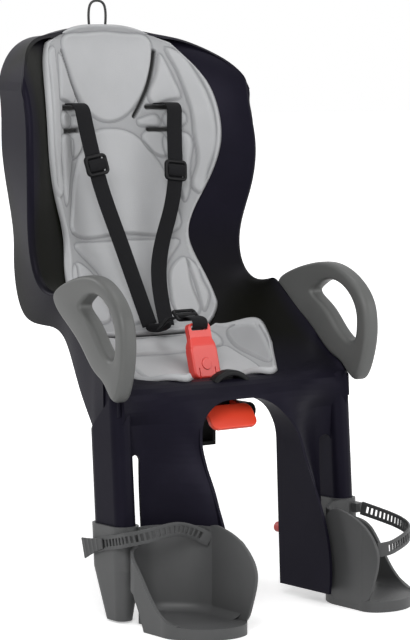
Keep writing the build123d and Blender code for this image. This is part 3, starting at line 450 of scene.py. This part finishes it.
# Bucket skin that the padding follows. Each station has its place, half width, lip, centre and fullness;
# depth = lip + (centre - lip) * (1 - (x / half) ** fullness) ** 2, measured in the station's own plane.
bucket = {
    "kind": "bbbbbbbttttppprr",  # back, turn into the pan, pan, rolled front
    "place": [562, 522, 485, 445, 395, 330, 265, 0, 30, 60, 90, -15, -50, -80, 67, 45],
    "half": [191, 191, 191, 188, 191, 187, 177, 175.5, 177, 178.5, 179.5, 184, 189, 194, 194, 194],
    "lip": [186, 140, 108, 95, 86, 91, 103, 78, 56, 31, 31, 172, 140, 113, 46, 40],
    "centre": [199, 193, 188, 183, 175, 162, 149, 117, 108, 119, 134, 92, 84, 95, 38, 39],
    "fullness": [2.6, 2.6, 2.6, 2.6, 2.7, 3.0, 3.2, 3.6, 4.2, 5.0, 5.5, 5.5, 5.0, 5.0, 6.0, 6.0],
    "turn": (20, 235), "roll": (-78, 58),
}


def stationPoint(k, x):
    # a level section of the back, an upright one of the pan, or one turned about the middle of the turn or the roll
    lip, kind, place = bucket["lip"][k], bucket["kind"][k], bucket["place"][k]
    hollow = (1 - np.clip(np.abs(x) / bucket["half"][k], 0, 1) ** bucket["fullness"][k]) ** 2
    depth = lip + (bucket["centre"][k] - lip) * hollow
    if kind == "b":
        return np.stack([x, depth, np.full_like(x, place)], -1)
    if kind == "p":
        return np.stack([x, np.full_like(x, place), depth], -1)
    (middleY, middleZ), way = (bucket["roll"], -1) if kind == "r" else (bucket["turn"], 1)
    angle = math.radians(place)
    return np.stack([x, middleY + way * depth * math.cos(angle), middleZ - way * depth * math.sin(angle)], -1)


stationCount = len(bucket["place"])
centreLine = np.array([stationPoint(k, np.zeros(1))[0] for k in range(stationCount)])
runAt = np.concatenate([[0], np.cumsum(np.linalg.norm(np.diff(centreLine, axis=0), axis=1))])


def skinGrid(u, run, halfWidths):
    # x = u * half width at each station, and a spline along the run carries every column from station to station
    sections = np.array([stationPoint(k, u * halfWidths[k]) for k in range(stationCount)])
    weights = splineMatrix(runAt, run.ravel()).reshape(run.shape + (stationCount,))
    return np.einsum("ijk,kjm->ijm", weights, sections)


def sideDistance(x, s, start, stop):
    # distance to the straight side between two points: to the foot of the perpendicular, kept between the ends
    (ax, ay), (bx, by) = start, stop
    share = np.clip(((x - ax) * (bx - ax) + (s - ay) * (by - ay)) / ((bx - ax) ** 2 + (by - ay) ** 2), 0, 1)
    return np.hypot(x - ax - share * (bx - ax), s - ay - share * (by - ay))


def lineDistance(x, s, points):
    # least distance to the sides of an open line
    return np.min([sideDistance(x, s, start, stop) for start, stop in zip(points, points[1:])], axis=0)


def edgeDistance(x, s, outline):
    # signed distance to a closed outline: negative inside, which is found by counting crossings
    closed = outline + outline[:1]
    inside = np.zeros(x.shape, bool)
    for (ax, ay), (bx, by) in zip(closed, closed[1:]):
        if by != ay:
            inside ^= ((ay > s) != (by > s)) & (x < (bx - ax) * (s - ay) / (by - ay) + ax)
    distance = lineDistance(x, s, closed)
    return np.where(inside, -distance, distance)


def ease(t):
    # smooth step from 0 to 1: three squares less two cubes
    t = np.clip(t, 0, 1)
    return t * t * (3 - 2 * t)


def curved(points, count=40, ring=True):
    # a spline through the corner points, as a list of places
    return [tuple(place) for place in smoothPath(points, count, ring)]


def mirrorHalf(half):
    # the right half of an outline, joined to its mirror image
    return half + [(-x, s) for x, s in half[::-1] if x > 0]


def flip(points):
    return [(-x, s) for x, s in points]


def closedPad(name, skin, front, shades):
    # front and back sheets share their border, so the pad is one closed form
    rows, cols = skin.shape[:2]
    frontIndex = np.arange(rows * cols).reshape(rows, cols)
    backIndex = np.full((rows, cols), -1)
    backIndex[0], backIndex[-1], backIndex[:, 0], backIndex[:, -1] = \
        frontIndex[0], frontIndex[-1], frontIndex[:, 0], frontIndex[:, -1]
    inner = backIndex < 0
    backIndex[inner] = rows * cols + np.arange(inner.sum())
    quads, _ = gridFaces(rows, cols)
    backQuads = backIndex.ravel()[quads][:, ::-1]
    points = np.concatenate([front.reshape(-1, 3), skin[inner]]) * mm
    piece = putMesh(name, points, np.concatenate([quads, backQuads]).tolist())
    for label, shade in shades.items():
        values = piece.data.attributes.new(label, "FLOAT", "POINT").data
        values.foreach_set("value", np.concatenate([shade.ravel(), np.zeros(inner.sum())]).astype(np.float32))
    return piece


def pressed(x, s, outlines, bevel, groove):
    # island height by distance inside each outline, and a narrow groove where its edge runs
    raised, line = np.zeros_like(x), np.zeros_like(x)
    for outline in outlines:
        inside = -edgeDistance(x, s, curved(outline, 60))
        raised = np.maximum(raised, ease(inside / bevel))
        line = np.maximum(line, np.exp(-((inside + groove * 0.6) / groove) ** 2))
    return raised, line


padCloth = {"coarse": 3, "pressure": 4.0, "cap": 4.0, "frames": 20, "quality": 6, "mass": 0.25, "stiffness": 12,
            "bending": 0.4, "heldBelow": 0.6, "heldEdge": 7, "quickRise": 2.5, "quickEdge": 25}


def clothPuff(name, skin, front, raised, edge):
    # a coarse copy of the pad is blown up as cloth, held along its seams and border;
    # the rise along the normals comes back to the fine grid by splines both ways
    step = padCloth["coarse"]
    rows, cols = np.arange(0, skin.shape[0], step), np.arange(0, skin.shape[1], step)
    small = np.ix_(rows, cols)
    coarseSkin, coarseFront = skin[small], front[small]
    trial = closedPad(name + "Cloth", coarseSkin, coarseFront, {})
    held = (raised[small] < padCloth["heldBelow"]) | (edge[small] < padCloth["heldEdge"])
    held[0], held[-1], held[:, 0], held[:, -1] = True, True, True, True  # the border
    pins = trial.vertex_groups.new(name="held")
    count = coarseSkin.shape[0] * coarseSkin.shape[1]
    rearPoints = list(range(count, len(trial.data.vertices)))
    pins.add(np.flatnonzero(held.ravel()).tolist() + rearPoints, 1.0, "REPLACE")
    cloth = trial.modifiers.new("cloth", "CLOTH")
    fabric = cloth.settings
    fabric.quality = padCloth["quality"]
    fabric.mass = padCloth["mass"]
    fabric.tension_stiffness = padCloth["stiffness"]
    fabric.compression_stiffness = padCloth["stiffness"]
    fabric.bending_stiffness = padCloth["bending"]
    fabric.vertex_group_mass = "held"
    fabric.use_pressure = True
    fabric.uniform_pressure_force = padCloth["pressure"]
    fabric.effector_weights.gravity = 0
    cloth.point_cache.frame_start, cloth.point_cache.frame_end = 1, padCloth["frames"]
    for frameNumber in range(1, padCloth["frames"] + 1):
        scene.frame_set(frameNumber)
    settled = trial.evaluated_get(bpy.context.evaluated_depsgraph_get()).to_mesh()
    after = np.empty(len(settled.vertices) * 3)
    settled.vertices.foreach_get("co", after)
    moved = after.reshape(-1, 3)[:count] / mm - coarseFront.reshape(-1, 3)
    rise = np.sum(moved * outwardNormals(coarseSkin).reshape(-1, 3), -1).reshape(coarseSkin.shape[:2])
    bpy.data.objects.remove(trial, do_unlink=True)
    scene.frame_set(1)
    print(name, "cloth rise up to", round(float(rise.max()), 2), "mm")
    rise = np.clip(rise, 0, padCloth["cap"])
    fineRows = splineMatrix(rows.astype(float), np.arange(skin.shape[0]).astype(float))
    fineCols = splineMatrix(cols.astype(float), np.arange(skin.shape[1]).astype(float))
    return np.clip(fineRows @ rise @ fineCols.T, 0, padCloth["cap"]) * raised


def outwardNormals(skin):
    # cross product of the grid's two directions, turned so that the middle faces forward
    normals = unit(np.cross(np.gradient(skin, axis=1), np.gradient(skin, axis=0)))
    return normals if normals[len(normals) // 2, skin.shape[1] // 2, 1] < 0 else -normals


# Edge bead, grooves and painted shade that both pads share
padEdge = {"beadIn": 3.2, "beadWide": 2.0, "grooveDeep": 0.9, "cutDeep": 0.97, "sheetShade": 0.3, "sheetFrom": 6,
           "grooveShade": 0.75, "grooveFrom": 4}


def edgeBead(edge):
    return np.exp(-((edge - padEdge["beadIn"]) / padEdge["beadWide"]) ** 2)


def padFront(name, pad, skin, normals, raised, grooves, edge, brow=0.0, cuts=0.0):
    # height = round border * (sheet + islands + bead + brow), plus the cloth's rise, less the grooves and cuts
    border = np.sqrt(np.clip(1 - (1 - np.clip(edge / pad["border"], 0, 1)) ** 2, 0, 1))
    lift = border * (pad["sheet"] + pad["island"] * raised + pad["bead"] * edgeBead(edge) + brow)
    puff = clothPuff(name, skin, skin + normals * (pad["gap"] + lift)[..., None], raised, edge)
    lift = (lift + puff - padEdge["grooveDeep"] * grooves * border) * (1 - padEdge["cutDeep"] * cuts)
    return skin + normals * (pad["gap"] + lift)[..., None]


def padShades(raised, grooves, edge):
    # painted shade of the thin sheet between the islands, and of the grooves round them
    sheet = padEdge["sheetShade"] * (1 - raised) * (edge > padEdge["sheetFrom"])
    return sheet, padEdge["grooveShade"] * grooves * (edge > padEdge["grooveFrom"])


# Back padding: raised islands on a thinner sheet, a bead round the edge and pressed channels between.
# Half widths stand at the bucket's stations; outlines are (x, run down the centre line) for one half.
backPad = {
    "halfWidths": [74, 110, 134, 144, 145.5, 127.5, 106, 112, 121] + [120] * 7,
    "topCentre": 7.5, "topCorner": 34, "end": 449, "endCorner": 42, "cornerFrom": 0.7, "cornerRound": 0.97,
    "gap": 1.0, "sheet": 6.5, "island": 2.6, "bevel": 3.6, "groove": 1.5, "bead": 1.6, "border": 4.5,
    "brow": 5.5, "browRun": 16, "browHalf": 84, "browFade": 30,
    "slitReach": (2.3, 1.6), "slitSoft": 1.5, "slotReach": 2.2, "slotSoft": 1.9,
    "head": [(0, 19), (42, 22), (76, 31), (77, 48), (70, 76), (58, 103), (40, 126), (20, 139), (0, 143)],
    "sideIslands": [
        [(87, 50), (80, 70), (73, 88), (66, 114), (72, 119), (90, 114), (104, 110), (102, 92), (95, 68)],
        [(97, 41), (101, 62), (109, 95), (115, 127), (117, 162), (118, 205), (117, 240),
         (121, 242), (129, 222), (139, 180), (140, 140), (134, 102), (123, 68), (108, 45)],
        [(46, 141), (52, 138), (76, 135), (78, 145), (54, 149), (47, 147)],
        [(84, 133), (106, 129), (108, 144), (86, 148)],
        [(52, 161), (78, 157), (79, 192), (74, 191)],
        [(85, 160), (108, 158), (111, 205), (109, 240), (103, 254), (97, 238), (88, 205)],
        [(92, 335), (66, 354), (57, 384), (60, 424), (90, 426), (93, 380)],
        [(99, 338), (105, 346), (110, 375), (112, 408), (102, 424), (99, 380)],
    ],
    "oval": [(0, 152), (22, 154), (40, 161), (58, 178), (75, 205), (86, 234), (92, 262),
             (94, 290), (84, 297), (0, 298)],
    "lowerPanel": [(0, 308), (60, 308), (90, 309), (62, 345), (49, 384), (53, 428), (0, 430)],
    "slit": [(80, 46), (70, 81), (56, 113), (42, 135)],
    "slots": [[(62, 122), (98, 122)], [(62, 153), (98, 153)]],
    "rows": 271, "cols": 172,
}
u = np.linspace(-1, 1, backPad["cols"])
v = np.linspace(0, 1, backPad["rows"])[:, None]
top = backPad["topCentre"] + (backPad["topCorner"] - backPad["topCentre"]) * np.abs(u) ** 3
# a quarter ellipse at each lower corner; square turns a distance along the run into one square to the end
corner = np.clip((np.abs(u) - backPad["cornerFrom"]) / (1 - backPad["cornerFrom"]), 0, 1)
end = backPad["end"] - backPad["endCorner"] * (1 - np.sqrt(1 - backPad["cornerRound"] * corner ** 2))
square = 1 / np.hypot(1, np.gradient(end, u * backPad["halfWidths"][-1]))
run = top + v * (end - top)
skin = skinGrid(u, run, backPad["halfWidths"])
normals = outwardNormals(skin)
x = skin[..., 0]
edge = np.minimum(np.minimum(np.abs(x[:, -1:]) - np.abs(x), run - top), (end - run) * square)
panels = [mirrorHalf(backPad["head"]), mirrorHalf(backPad["oval"]), mirrorHalf(backPad["lowerPanel"])]
panels += backPad["sideIslands"] + [flip(points) for points in backPad["sideIslands"]]
raised, grooves = pressed(x, run, panels, backPad["bevel"], backPad["groove"])
slitLine = curved(backPad["slit"], 24, False)
# the cuts sink the pad almost to its back, and the same mask paints them black: the dark shell seen through each
# opening and painted shade in its gap; the slit is wider on the +x side
cuts = np.zeros_like(x)
for points, reach in zip((slitLine, flip(slitLine)), backPad["slitReach"]):
    cuts = np.maximum(cuts, ease(reach - lineDistance(x, run, points) / backPad["slitSoft"]))
for points in backPad["slots"] + [flip(points) for points in backPad["slots"]]:
    cuts = np.maximum(cuts, ease(backPad["slotReach"] - lineDistance(x, run, points) / backPad["slotSoft"]))
# the brow lifts the middle of the top edge over the crown
brow = np.exp(-((run - top) / backPad["browRun"]) ** 2) * ease((backPad["browHalf"] - np.abs(x)) / backPad["browFade"])
front = padFront("back", backPad, skin, normals, raised, grooves, edge, backPad["brow"] * brow, cuts)
sheetShade, grooveShade = padShades(raised, grooves, edge)
# painted shade on the thin sheet, less on the edge bead, and in the grooves
seamShade = np.maximum(sheetShade * (1 - edgeBead(edge)), grooveShade)
backCushion = closedPad("backCushion", skin + normals * backPad["gap"], front, {"paintedShade": seamShade, "cutShade": cuts})
dress(backCushion, padGrey, "seat", ["back_pad"])
print("back padding")


# Seat padding: two thigh lobes with a leaf panel each, a cross seam, and a notch for the buckle strap.
# The front edge is a spline of the run over the distance from the middle.
seatPad = {
    "halfWidths": [120] * 7 + [118, 110, 108, 144, 138] + [137] * 4,
    "start": 453, "endX": [0, 18, 32, 44, 56, 68, 82, 100, 120, 131, 137],
    "endRun": [577, 580, 592, 611, 628, 635, 630, 612, 585, 566, 552],
    "gap": 1.0, "sheet": 7.0, "island": 2.6, "bevel": 4.0, "groove": 1.5, "bead": 1.4, "border": 5,
    "leafShade": 0.42, "leafFade": 6,
    "leaf": [(112, 484), (127, 496), (138, 516), (135, 546), (117, 574), (109, 556), (105, 528), (106, 500)],
    "rearPanel": [(0, 458), (50, 458), (92, 462), (96, 494), (50, 497), (0, 498)],
    "frontPanel": [(0, 504), (50, 503), (94, 502), (97, 540), (97, 576), (84, 600),
                   (68, 616), (54, 606), (34, 582), (0, 573)],
    "rows": 151, "cols": 199,
}
u = np.linspace(-1, 1, seatPad["cols"])
v = np.linspace(0, 1, seatPad["rows"])[:, None]
frontHalf = seatPad["halfWidths"][-1]
end = splineMatrix(np.array(seatPad["endX"], float), np.abs(u) * frontHalf) @ seatPad["endRun"]
square = 1 / np.hypot(1, np.gradient(end, u * frontHalf))
run = seatPad["start"] + v * (end - seatPad["start"])
skin = skinGrid(u, run, seatPad["halfWidths"])
normals = outwardNormals(skin)
normals = normals if normals[len(normals) // 2, len(u) // 2, 2] > 0 else -normals
x = skin[..., 0]
edge = np.minimum(np.minimum(np.abs(x[:, -1:]) - np.abs(x), run - seatPad["start"]), (end - run) * square)
leaves = [seatPad["leaf"], flip(seatPad["leaf"])]
panels = leaves + [mirrorHalf(seatPad["rearPanel"]), mirrorHalf(seatPad["frontPanel"])]
raised, grooves = pressed(x, run, panels, seatPad["bevel"], seatPad["groove"])
onLeaf = np.max([ease(-edgeDistance(x, run, curved(leaf)) / seatPad["leafFade"]) for leaf in leaves], axis=0)
front = padFront("seat", seatPad, skin, normals, raised, grooves, edge)
sheetShade, grooveShade = padShades(raised, grooves, edge)
# painted shade on the thin sheet and in the grooves; the leaf panels are darkened as well
seamShade = np.maximum(sheetShade + seatPad["leafShade"] * onLeaf, grooveShade)
seatCushion = closedPad("seatCushion", skin + normals * seatPad["gap"], front, {"paintedShade": seamShade})
dress(seatCushion, padGrey, "seat", ["seat_pad"])
print("seat padding")


# Harness straps: flat woven bands along their routes
harness = {
    "width": 25.0, "thick": 1.8, "round": 0.45,
    "leftRoute": [(80, 188, 447), (80, 150, 447), (80, 137, 446.5), (79.5, 131, 442), (78.5, 128.5, 432),
                  (74, 122, 392), (70, 115.5, 353), (66, 113, 330), (58, 113.5, 295), (48, 112.5, 268),
                  (38, 108, 242), (27, 96, 212), (19, 78, 178), (14, 62, 152)],
    "rightRoute": [(-76, 188, 447), (-76, 150, 447), (-76, 137, 446.5), (-75.5, 131, 442), (-74.5, 127.5, 432),
                   (-70, 119, 392), (-60, 107, 334), (-46, 92, 276), (-30, 77, 214), (-14, 62, 152)],
    "joinRoute": [(0, 55, 153), (0, 45, 156), (0, 32, 161), (0, 18, 165), (0, 5, 166), (0, -8, 168), (0, -20, 168),
                  (0, -27.5, 165), (0, -30, 159.5), (0, -28, 155), (0, -23, 153)],
    "joinStart": (0.72, 0.1, 0.62), "joinTurn": 0.42, "joinRows": 60,
}


def strapBand(name, route, across, rows, node):
    thick = harness["thick"]
    piece = bandAlong(name, smoothPath(route, rows), across, harness["width"] / 2, thick / 2,
                      thick * harness["round"], 4)
    dress(piece, webBlack, "seat", [node])


strapBand("shoulderStrapLeft", harness["leftRoute"], (1, 0, 0), 140, "shoulder_strap_left")
strapBand("shoulderStrapRight", harness["rightRoute"], (1, 0, 0), 120, "shoulder_strap_right")
print("harness straps")


# Ladder sliders: a rounded frame with a barrel-shaped roller, square to the strap at a share of its upper run
slider = {"halfWide": 16.0, "halfLong": 12.0, "corner": 4.5, "rod": 2.6, "rodWide": 1.15, "proud": 1.5,
          "roller": 6.0, "rollerEnd": 1.5, "rollerFull": (0.82, 0.18), "rollerWide": 0.5, "rollerTall": 1.35,
          "left": ((79, 130, 441), (70, 116, 353), 0.97), "right": ((-75, 128, 432), (-58, 105, 325), 0.62)}
for sideName in ("left", "right"):
    start, end, share = (np.array(value, float) for value in slider[sideName])
    ahead = unit(end - start)
    wide = unit(np.array([1.0, 0, 0]) - ahead * ahead[0])
    out = np.cross(wide, ahead)
    out = out if out[1] < 0 else -out
    centre = start + (end - start) * share + out * slider["proud"]
    frameX, frameY = roundedBox(slider["halfWide"], slider["halfLong"], slider["corner"], 6)
    path = centre + wide * frameX[:, None] + ahead * frameY[:, None]
    piece = rodAlong("sliderFrame_" + sideName, path, out, slider["rod"] * slider["rodWide"], slider["rod"], True)
    dress(piece, trimBlack, "seat", ["strap_slider_" + sideName])
    reach = np.linspace(-1, 1, 25)
    path = centre + out * slider["proud"] + wide * (reach * (slider["halfWide"] - slider["rollerEnd"]))[:, None]
    least, bulge = slider["rollerFull"]
    girth = slider["roller"] * (least + bulge * np.sqrt(1 - (reach * 0.98) ** 2))[:, None]
    piece = rodAlong("sliderRoller_" + sideName, path, out, girth * slider["rollerWide"], girth * slider["rollerTall"])
    dress(piece, webBlack, "seat", ())
print("sliders")


# Sewn fold of the shoulder straps: a soft bar, fullest in its middle and rounded to its ends
fold = {"route": [(-19, 64, 150.5), (-10, 62.5, 148.5), (0, 61.5, 148), (10, 60.5, 149.5), (19, 58, 152)],
        "tall": 6.5, "thick": 4.2, "upright": (0, -0.35, 0.94), "rows": 31}
full = np.sqrt(np.clip(1 - np.linspace(-1, 1, fold["rows"]) ** 4, 0.02, 1))[:, None]
piece = rodAlong("strapFold", smoothPath(fold["route"], fold["rows"]), fold["upright"], full * fold["tall"],
                 full * fold["thick"])
dress(piece, webBlack, "seat", ["strap_joiner"])

# Clip on the joined strap: a rod frame leaning on the strap, with a flat bar across it
clip = {"centre": (0, 2, 168.5), "halfWide": 17, "halfLong": 8.5, "corner": 3.0, "rod": 2.3, "slope": (0, -0.8, -0.6),
        "frameProud": 1.2, "barProud": 2.6, "barHalf": (1.8, 3.0), "barRows": 9}
ahead = unit(np.array(clip["slope"], float))
wide = np.array([1.0, 0, 0])
out = np.cross(ahead, wide)
frameX, frameY = roundedBox(clip["halfWide"], clip["halfLong"], clip["corner"], 5)
path = np.array(clip["centre"]) + wide * frameX[:, None] + ahead * frameY[:, None] + out * clip["frameProud"]
piece = rodAlong("strapClip", path, out, clip["rod"], clip["rod"], True)
dress(piece, trimBlack, "seat", ())
reach = np.linspace(-1, 1, clip["barRows"]) * clip["halfWide"]
path = np.array(clip["centre"]) + out * clip["barProud"] + wide * reach[:, None]
piece = rodAlong("strapClipBar", path, out, *clip["barHalf"])
dress(piece, trimBlack, "seat", ())

# the joined strap turns from its sewn end to lie flat at the clip
turned = ease(np.linspace(0, 1, harness["joinRows"]) / harness["joinTurn"])[:, None]
turned = np.array(harness["joinStart"]) * (1 - turned) + np.array([1.0, 0, 0]) * turned
strapBand("joinedStrap", harness["joinRoute"], turned, harness["joinRows"], "joined_strap")
print("strap fold, clip and joined strap")


# Buckle neck: a rounded section that narrows from the body to the tongue, along the buckle's leaning middle line
neck = {"foot": (0, -36, 111), "up": (0, 0.26724, 0.96363), "reach": [16, 20, 23, 27, 31, 34],
        "halfWide": [21.0, 21.3, 20.7, 19.5, 18.3, 17.4], "halfDeep": [6.4, 6.9, 6.5, 5.4, 4.3, 3.6],
        "round": 3.0, "rows": 25}
reach = np.linspace(neck["reach"][0], neck["reach"][-1], neck["rows"])
fit = splineMatrix(np.array(neck["reach"], float), reach)
path = np.array(neck["foot"], float) + np.array(neck["up"]) * reach[:, None]
piece = bandAlong("buckleNeck", path, (1, 0, 0), fit @ neck["halfWide"], fit @ neck["halfDeep"], neck["round"])
dress(piece, buckleRed, "seat", ())

# Strap guide: a rounded band carried over a circular arch
guide = {"half": 26.5, "rise": 11.5, "low": 89.5, "y": -90.0, "halfWide": 8.4, "halfThick": 4.2, "round": 3.4,
         "rows": 41}
bend = (guide["half"] ** 2 + guide["rise"] ** 2) / (2 * guide["rise"])
angle = np.linspace(-1, 1, guide["rows"]) * math.asin(guide["half"] / bend)
height = guide["low"] + guide["rise"] - bend * (1 - np.cos(angle))
path = np.stack([bend * np.sin(angle), np.full(guide["rows"], guide["y"]), height], -1)
piece = bandAlong("strapGuide", path, (0, 1, 0), guide["halfWide"], guide["halfThick"], guide["round"])
dress(piece, trimBlack, "seat", ())
print("buckle neck and strap guide")


# Armrests: a rounded section carried round the loop, spanning from the outer outline to the opening
armLoop = {
    "outer": [(24, 208), (2, 221), (-26, 230), (-72, 235), (-117, 216), (-142, 185), (-147, 152), (-139, 108),
              (-122, 81), (-99, 100), (-80, 110.5), (-28, 156)],
    "inner": [(-43, 197), (-50, 203), (-60, 209), (-80, 212), (-110, 195), (-124, 168), (-125, 150), (-121, 136),
              (-112, 134), (-103, 138), (-88, 152), (-60, 180)],
    "thick": 24.0, "round": 7.5, "hip": 187.0, "splay": 0.075, "rear": 25.0, "count": 160,
}
outer, inner = (smoothPath(armLoop[label], armLoop["count"], True) for label in ("outer", "inner"))
half = np.linalg.norm(outer - inner, axis=1) / 2
sx, sy = roundedBox(half, armLoop["thick"] / 2, armLoop["round"], 6)
flat = (outer + inner)[:, None] / 2 + unit(outer - inner)[:, None] * sx[..., None]
for sideName, side in (("left", 1), ("right", -1)):
    xHere = side * (armLoop["hip"] + armLoop["splay"] * (armLoop["rear"] - flat[..., 0]) + sy)
    points = np.stack([xHere, flat[..., 0], flat[..., 1]], -1) * mm
    quads, _ = gridFaces(points.shape[0], points.shape[1], True, True)
    if side < 0:
        quads = quads[:, ::-1]
    piece = putMesh("armLoop_" + sideName, points, quads.tolist())
    dress(piece, armGrey, "seat", ["armrest_" + sideName])
print("armrests")


# Foot straps: perforated bands, two rails joined by rungs, with a plain end where they are fixed
footStrap = {
    "width": 18.0, "thick": 2.5, "pitch": 7.0, "hole": 3.9, "holeHalf": 4.4, "plainEnd": 8, "rounding": 0.5,
    "left": [(190, -136, -90), (198, -165, -96), (195, -215, -103), (178, -244, -108),
             (142, -262, -115), (118, -268, -118), (103.6, -266, -119)],
    "right": [(-201.6, -56, -111), (-201.6, -99, -99), (-201.6, -118, -95), (-200.9, -140, -89.5),
              (-182, -164, -82), (-150, -172, -77), (-128, -172, -81.5), (-113, -175, -88), (-102.5, -182, -94)],
}
for sideName in ("left", "right"):
    route = smoothPath(footStrap[sideName], 400)
    length = np.concatenate([[0], np.cumsum(np.linalg.norm(np.diff(route, axis=0), axis=1))])
    holeCount = int((length[-1] - 2 * footStrap["plainEnd"]) / footStrap["pitch"])
    starts = footStrap["plainEnd"] + footStrap["pitch"] * np.arange(holeCount)
    marks = np.sort(np.concatenate([[0, length[-1]], starts, starts + footStrap["hole"]]))
    path = np.stack([np.interp(marks, length, route[:, k]) for k in range(3)], -1)
    _, wide, _ = pathFrames(path, (0, 0, 1))
    columns = np.array([-footStrap["width"] / 2, -footStrap["holeHalf"], footStrap["holeHalf"], footStrap["width"] / 2])
    points = path[:, None] + wide[:, None] * columns[:, None]
    quads, corners = gridFaces(len(path), 4)
    holes = (corners[:, 0, 0] % 2 == 1) & (corners[:, 0, 1] == 1)  # every other middle quad is open
    piece = putMesh("footStrap_" + sideName, points * mm, quads[~holes].tolist())
    solid = piece.modifiers.new("thick", "SOLIDIFY")
    solid.thickness = footStrap["thick"] * mm
    solid.offset = 0
    rounding = piece.modifiers.new("rounding", "BEVEL")
    rounding.width = footStrap["rounding"] * mm
    rounding.segments = 2
    dress(piece, strapRubber, "rest_" + sideName, ["foot_strap_" + sideName])
# pull tab at the right strap's free end: it widens along its run, with ribs across the outer part
pullTab = {"route": [(-204.2, -92, -100.5), (-204.6, -76, -104.5), (-204.8, -64, -108), (-204.8, -52, -111.5)],
           "halfWide": (6.5, 13.5), "flare": 1.4, "halfThick": 1.3, "round": 1.1, "ribs": 5, "ribHeight": 0.7,
           "ribsFrom": 0.2, "rows": 60}
share = np.linspace(0, 1, pullTab["rows"])
half = pullTab["halfWide"][0] + (pullTab["halfWide"][1] - pullTab["halfWide"][0]) * share ** pullTab["flare"]
ribs = np.clip(np.sin(share * pullTab["ribs"] * 2 * math.pi), 0, 1) * (share > pullTab["ribsFrom"])
piece = bandAlong("footStrapTab", smoothPath(pullTab["route"], pullTab["rows"]), (0, 0, 1), half,
                  pullTab["halfThick"] + pullTab["ribHeight"] * ribs, pullTab["round"], 4)
dress(piece, strapRubber, "rest_right", ())
print("foot straps")


# Fan wall of each foot cup: a plate with a round rim over the cup's inner wall, reaching round the toes;
# rings of the outline shrink to the middle line as the plate's edge rounds off
fanWall = {"outline": [(-184, -75.5), (-210, -77.5), (-241, -88.5), (-262, -105), (-271.5, -122), (-271, -140),
                       (-263, -165), (-252, -186), (-240, -192), (-212, -193), (-184, -192)],
           "inside": 97.7, "outside": 102.3, "round": 1.6, "count": 120}
rim = smoothPath(fanWall["outline"], fanWall["count"], True)
inward = unit(np.stack([-np.gradient(rim[:, 1]), np.gradient(rim[:, 0])], -1))
inward = inward if np.sum(inward[0] * (rim.mean(0) - rim[0])) > 0 else -inward
turn = np.linspace(0, math.pi / 2, 5)
shrink = np.concatenate([fanWall["round"] * (1 - np.sin(turn)), fanWall["round"] * (1 - np.cos(turn))])
depth = np.concatenate([fanWall["inside"] + fanWall["round"] * (1 - np.cos(turn)),
                        fanWall["outside"] - fanWall["round"] * (1 - np.sin(turn))])
flat = rim[None] + inward[None] * shrink[:, None, None]
ends = [list(range(fanWall["count"]))[::-1],
        list(range((len(depth) - 1) * fanWall["count"], len(depth) * fanWall["count"]))]
for sideName, side in (("left", 1), ("right", -1)):
    points = np.stack([np.broadcast_to(side * depth[:, None], flat.shape[:2]), flat[..., 0], flat[..., 1]], -1)
    quads, _ = gridFaces(points.shape[0], points.shape[1], True)
    faces = quads.tolist() + ends
    faces = faces if side > 0 else [face[::-1] for face in faces]
    piece = putMesh("fanWall_" + sideName, points * mm, faces)
    dress(piece, restGrey, "rest_" + sideName, ())
print("fan walls")


# Studio: pale floor, soft lamps, white surround
studio = {"floor": -0.2015, "reach": 30.0, "world": 0.32, "near": 0.5, "far": 1.6,
          "lamps": [("keyLamp", (-2.2, -2.2, 1.9), 1.6, 62.0), ("fillLamp", (1.8, -2.4, 1.0), 1.6, 20.0),
                    ("rearLamp", (-1.4, 2.2, 1.8), 1.4, 24.0), ("topLamp", (0.3, -0.4, 2.6), 1.5, 16.0)],
          "aim": (0, 0, 0.2), "paper": (0.92, 0.92, 0.92, 1), "paperRough": 0.9, "glow": (0.45, 0.55)}
for lampName, spot, size, power in studio["lamps"]:
    lampData = bpy.data.lights.new(lampName, "AREA")
    lampData.shape = "DISK"
    lampData.size = size
    lampData.energy = power
    lamp = bpy.data.objects.new(lampName, lampData)
    lamp.location = spot
    lamp.rotation_euler = (Vector(spot) - Vector(studio["aim"])).to_track_quat("Z", "Y").to_euler()
    scene.collection.objects.link(lamp)
reach = studio["reach"]
floor = putMesh("floor", [(-reach, -reach, studio["floor"]), (reach, -reach, studio["floor"]),
                          (reach, reach, studio["floor"]), (-reach, reach, studio["floor"])], [[0, 1, 2, 3]])


def seenByCamera(tree):
    # camera, mirror and glass rays see the white surround
    path = tree.nodes.new("ShaderNodeLightPath")
    seen = mathNode(tree, "MAXIMUM", path.outputs["Is Camera Ray"], path.outputs["Is Transmission Ray"])
    return mathNode(tree, "MAXIMUM", seen, path.outputs["Is Glossy Ray"])


paper = bpy.data.materials.new("floorPaper")
paper.use_nodes = True
tree = paper.node_tree
shader = tree.nodes["Principled BSDF"]
shader.inputs["Base Color"].default_value = studio["paper"]
shader.inputs["Roughness"].default_value = studio["paperRough"]
shader.inputs["Emission Color"].default_value = (1, 1, 1, 1)
# the paper keeps its shadow near the seat and turns to the white surround further out
spot = tree.nodes.new("ShaderNodeVectorMath")
spot.operation = "LENGTH"
wire(tree, tree.nodes.new("ShaderNodeTexCoord").outputs["Object"], spot.inputs[0])
away = rampNode(tree, spot.outputs["Value"], studio["near"], studio["far"])
glow = mathNode(tree, "ADD", mathNode(tree, "MULTIPLY", away, studio["glow"][1]), studio["glow"][0])
wire(tree, mathNode(tree, "MULTIPLY", seenByCamera(tree), glow), shader.inputs["Emission Strength"])
floor.data.materials.append(paper)
world = bpy.data.worlds.new("studioWorld")
scene.world = world
world.use_nodes = True
tree = world.node_tree
sky = tree.nodes["Background"]
sky.inputs["Color"].default_value = (1, 1, 1, 1)
rest = mathNode(tree, "MULTIPLY", seenByCamera(tree), 1.0 - studio["world"])
wire(tree, mathNode(tree, "ADD", rest, studio["world"]), sky.inputs["Strength"])
print("studio")

bpy.context.view_layer.update()
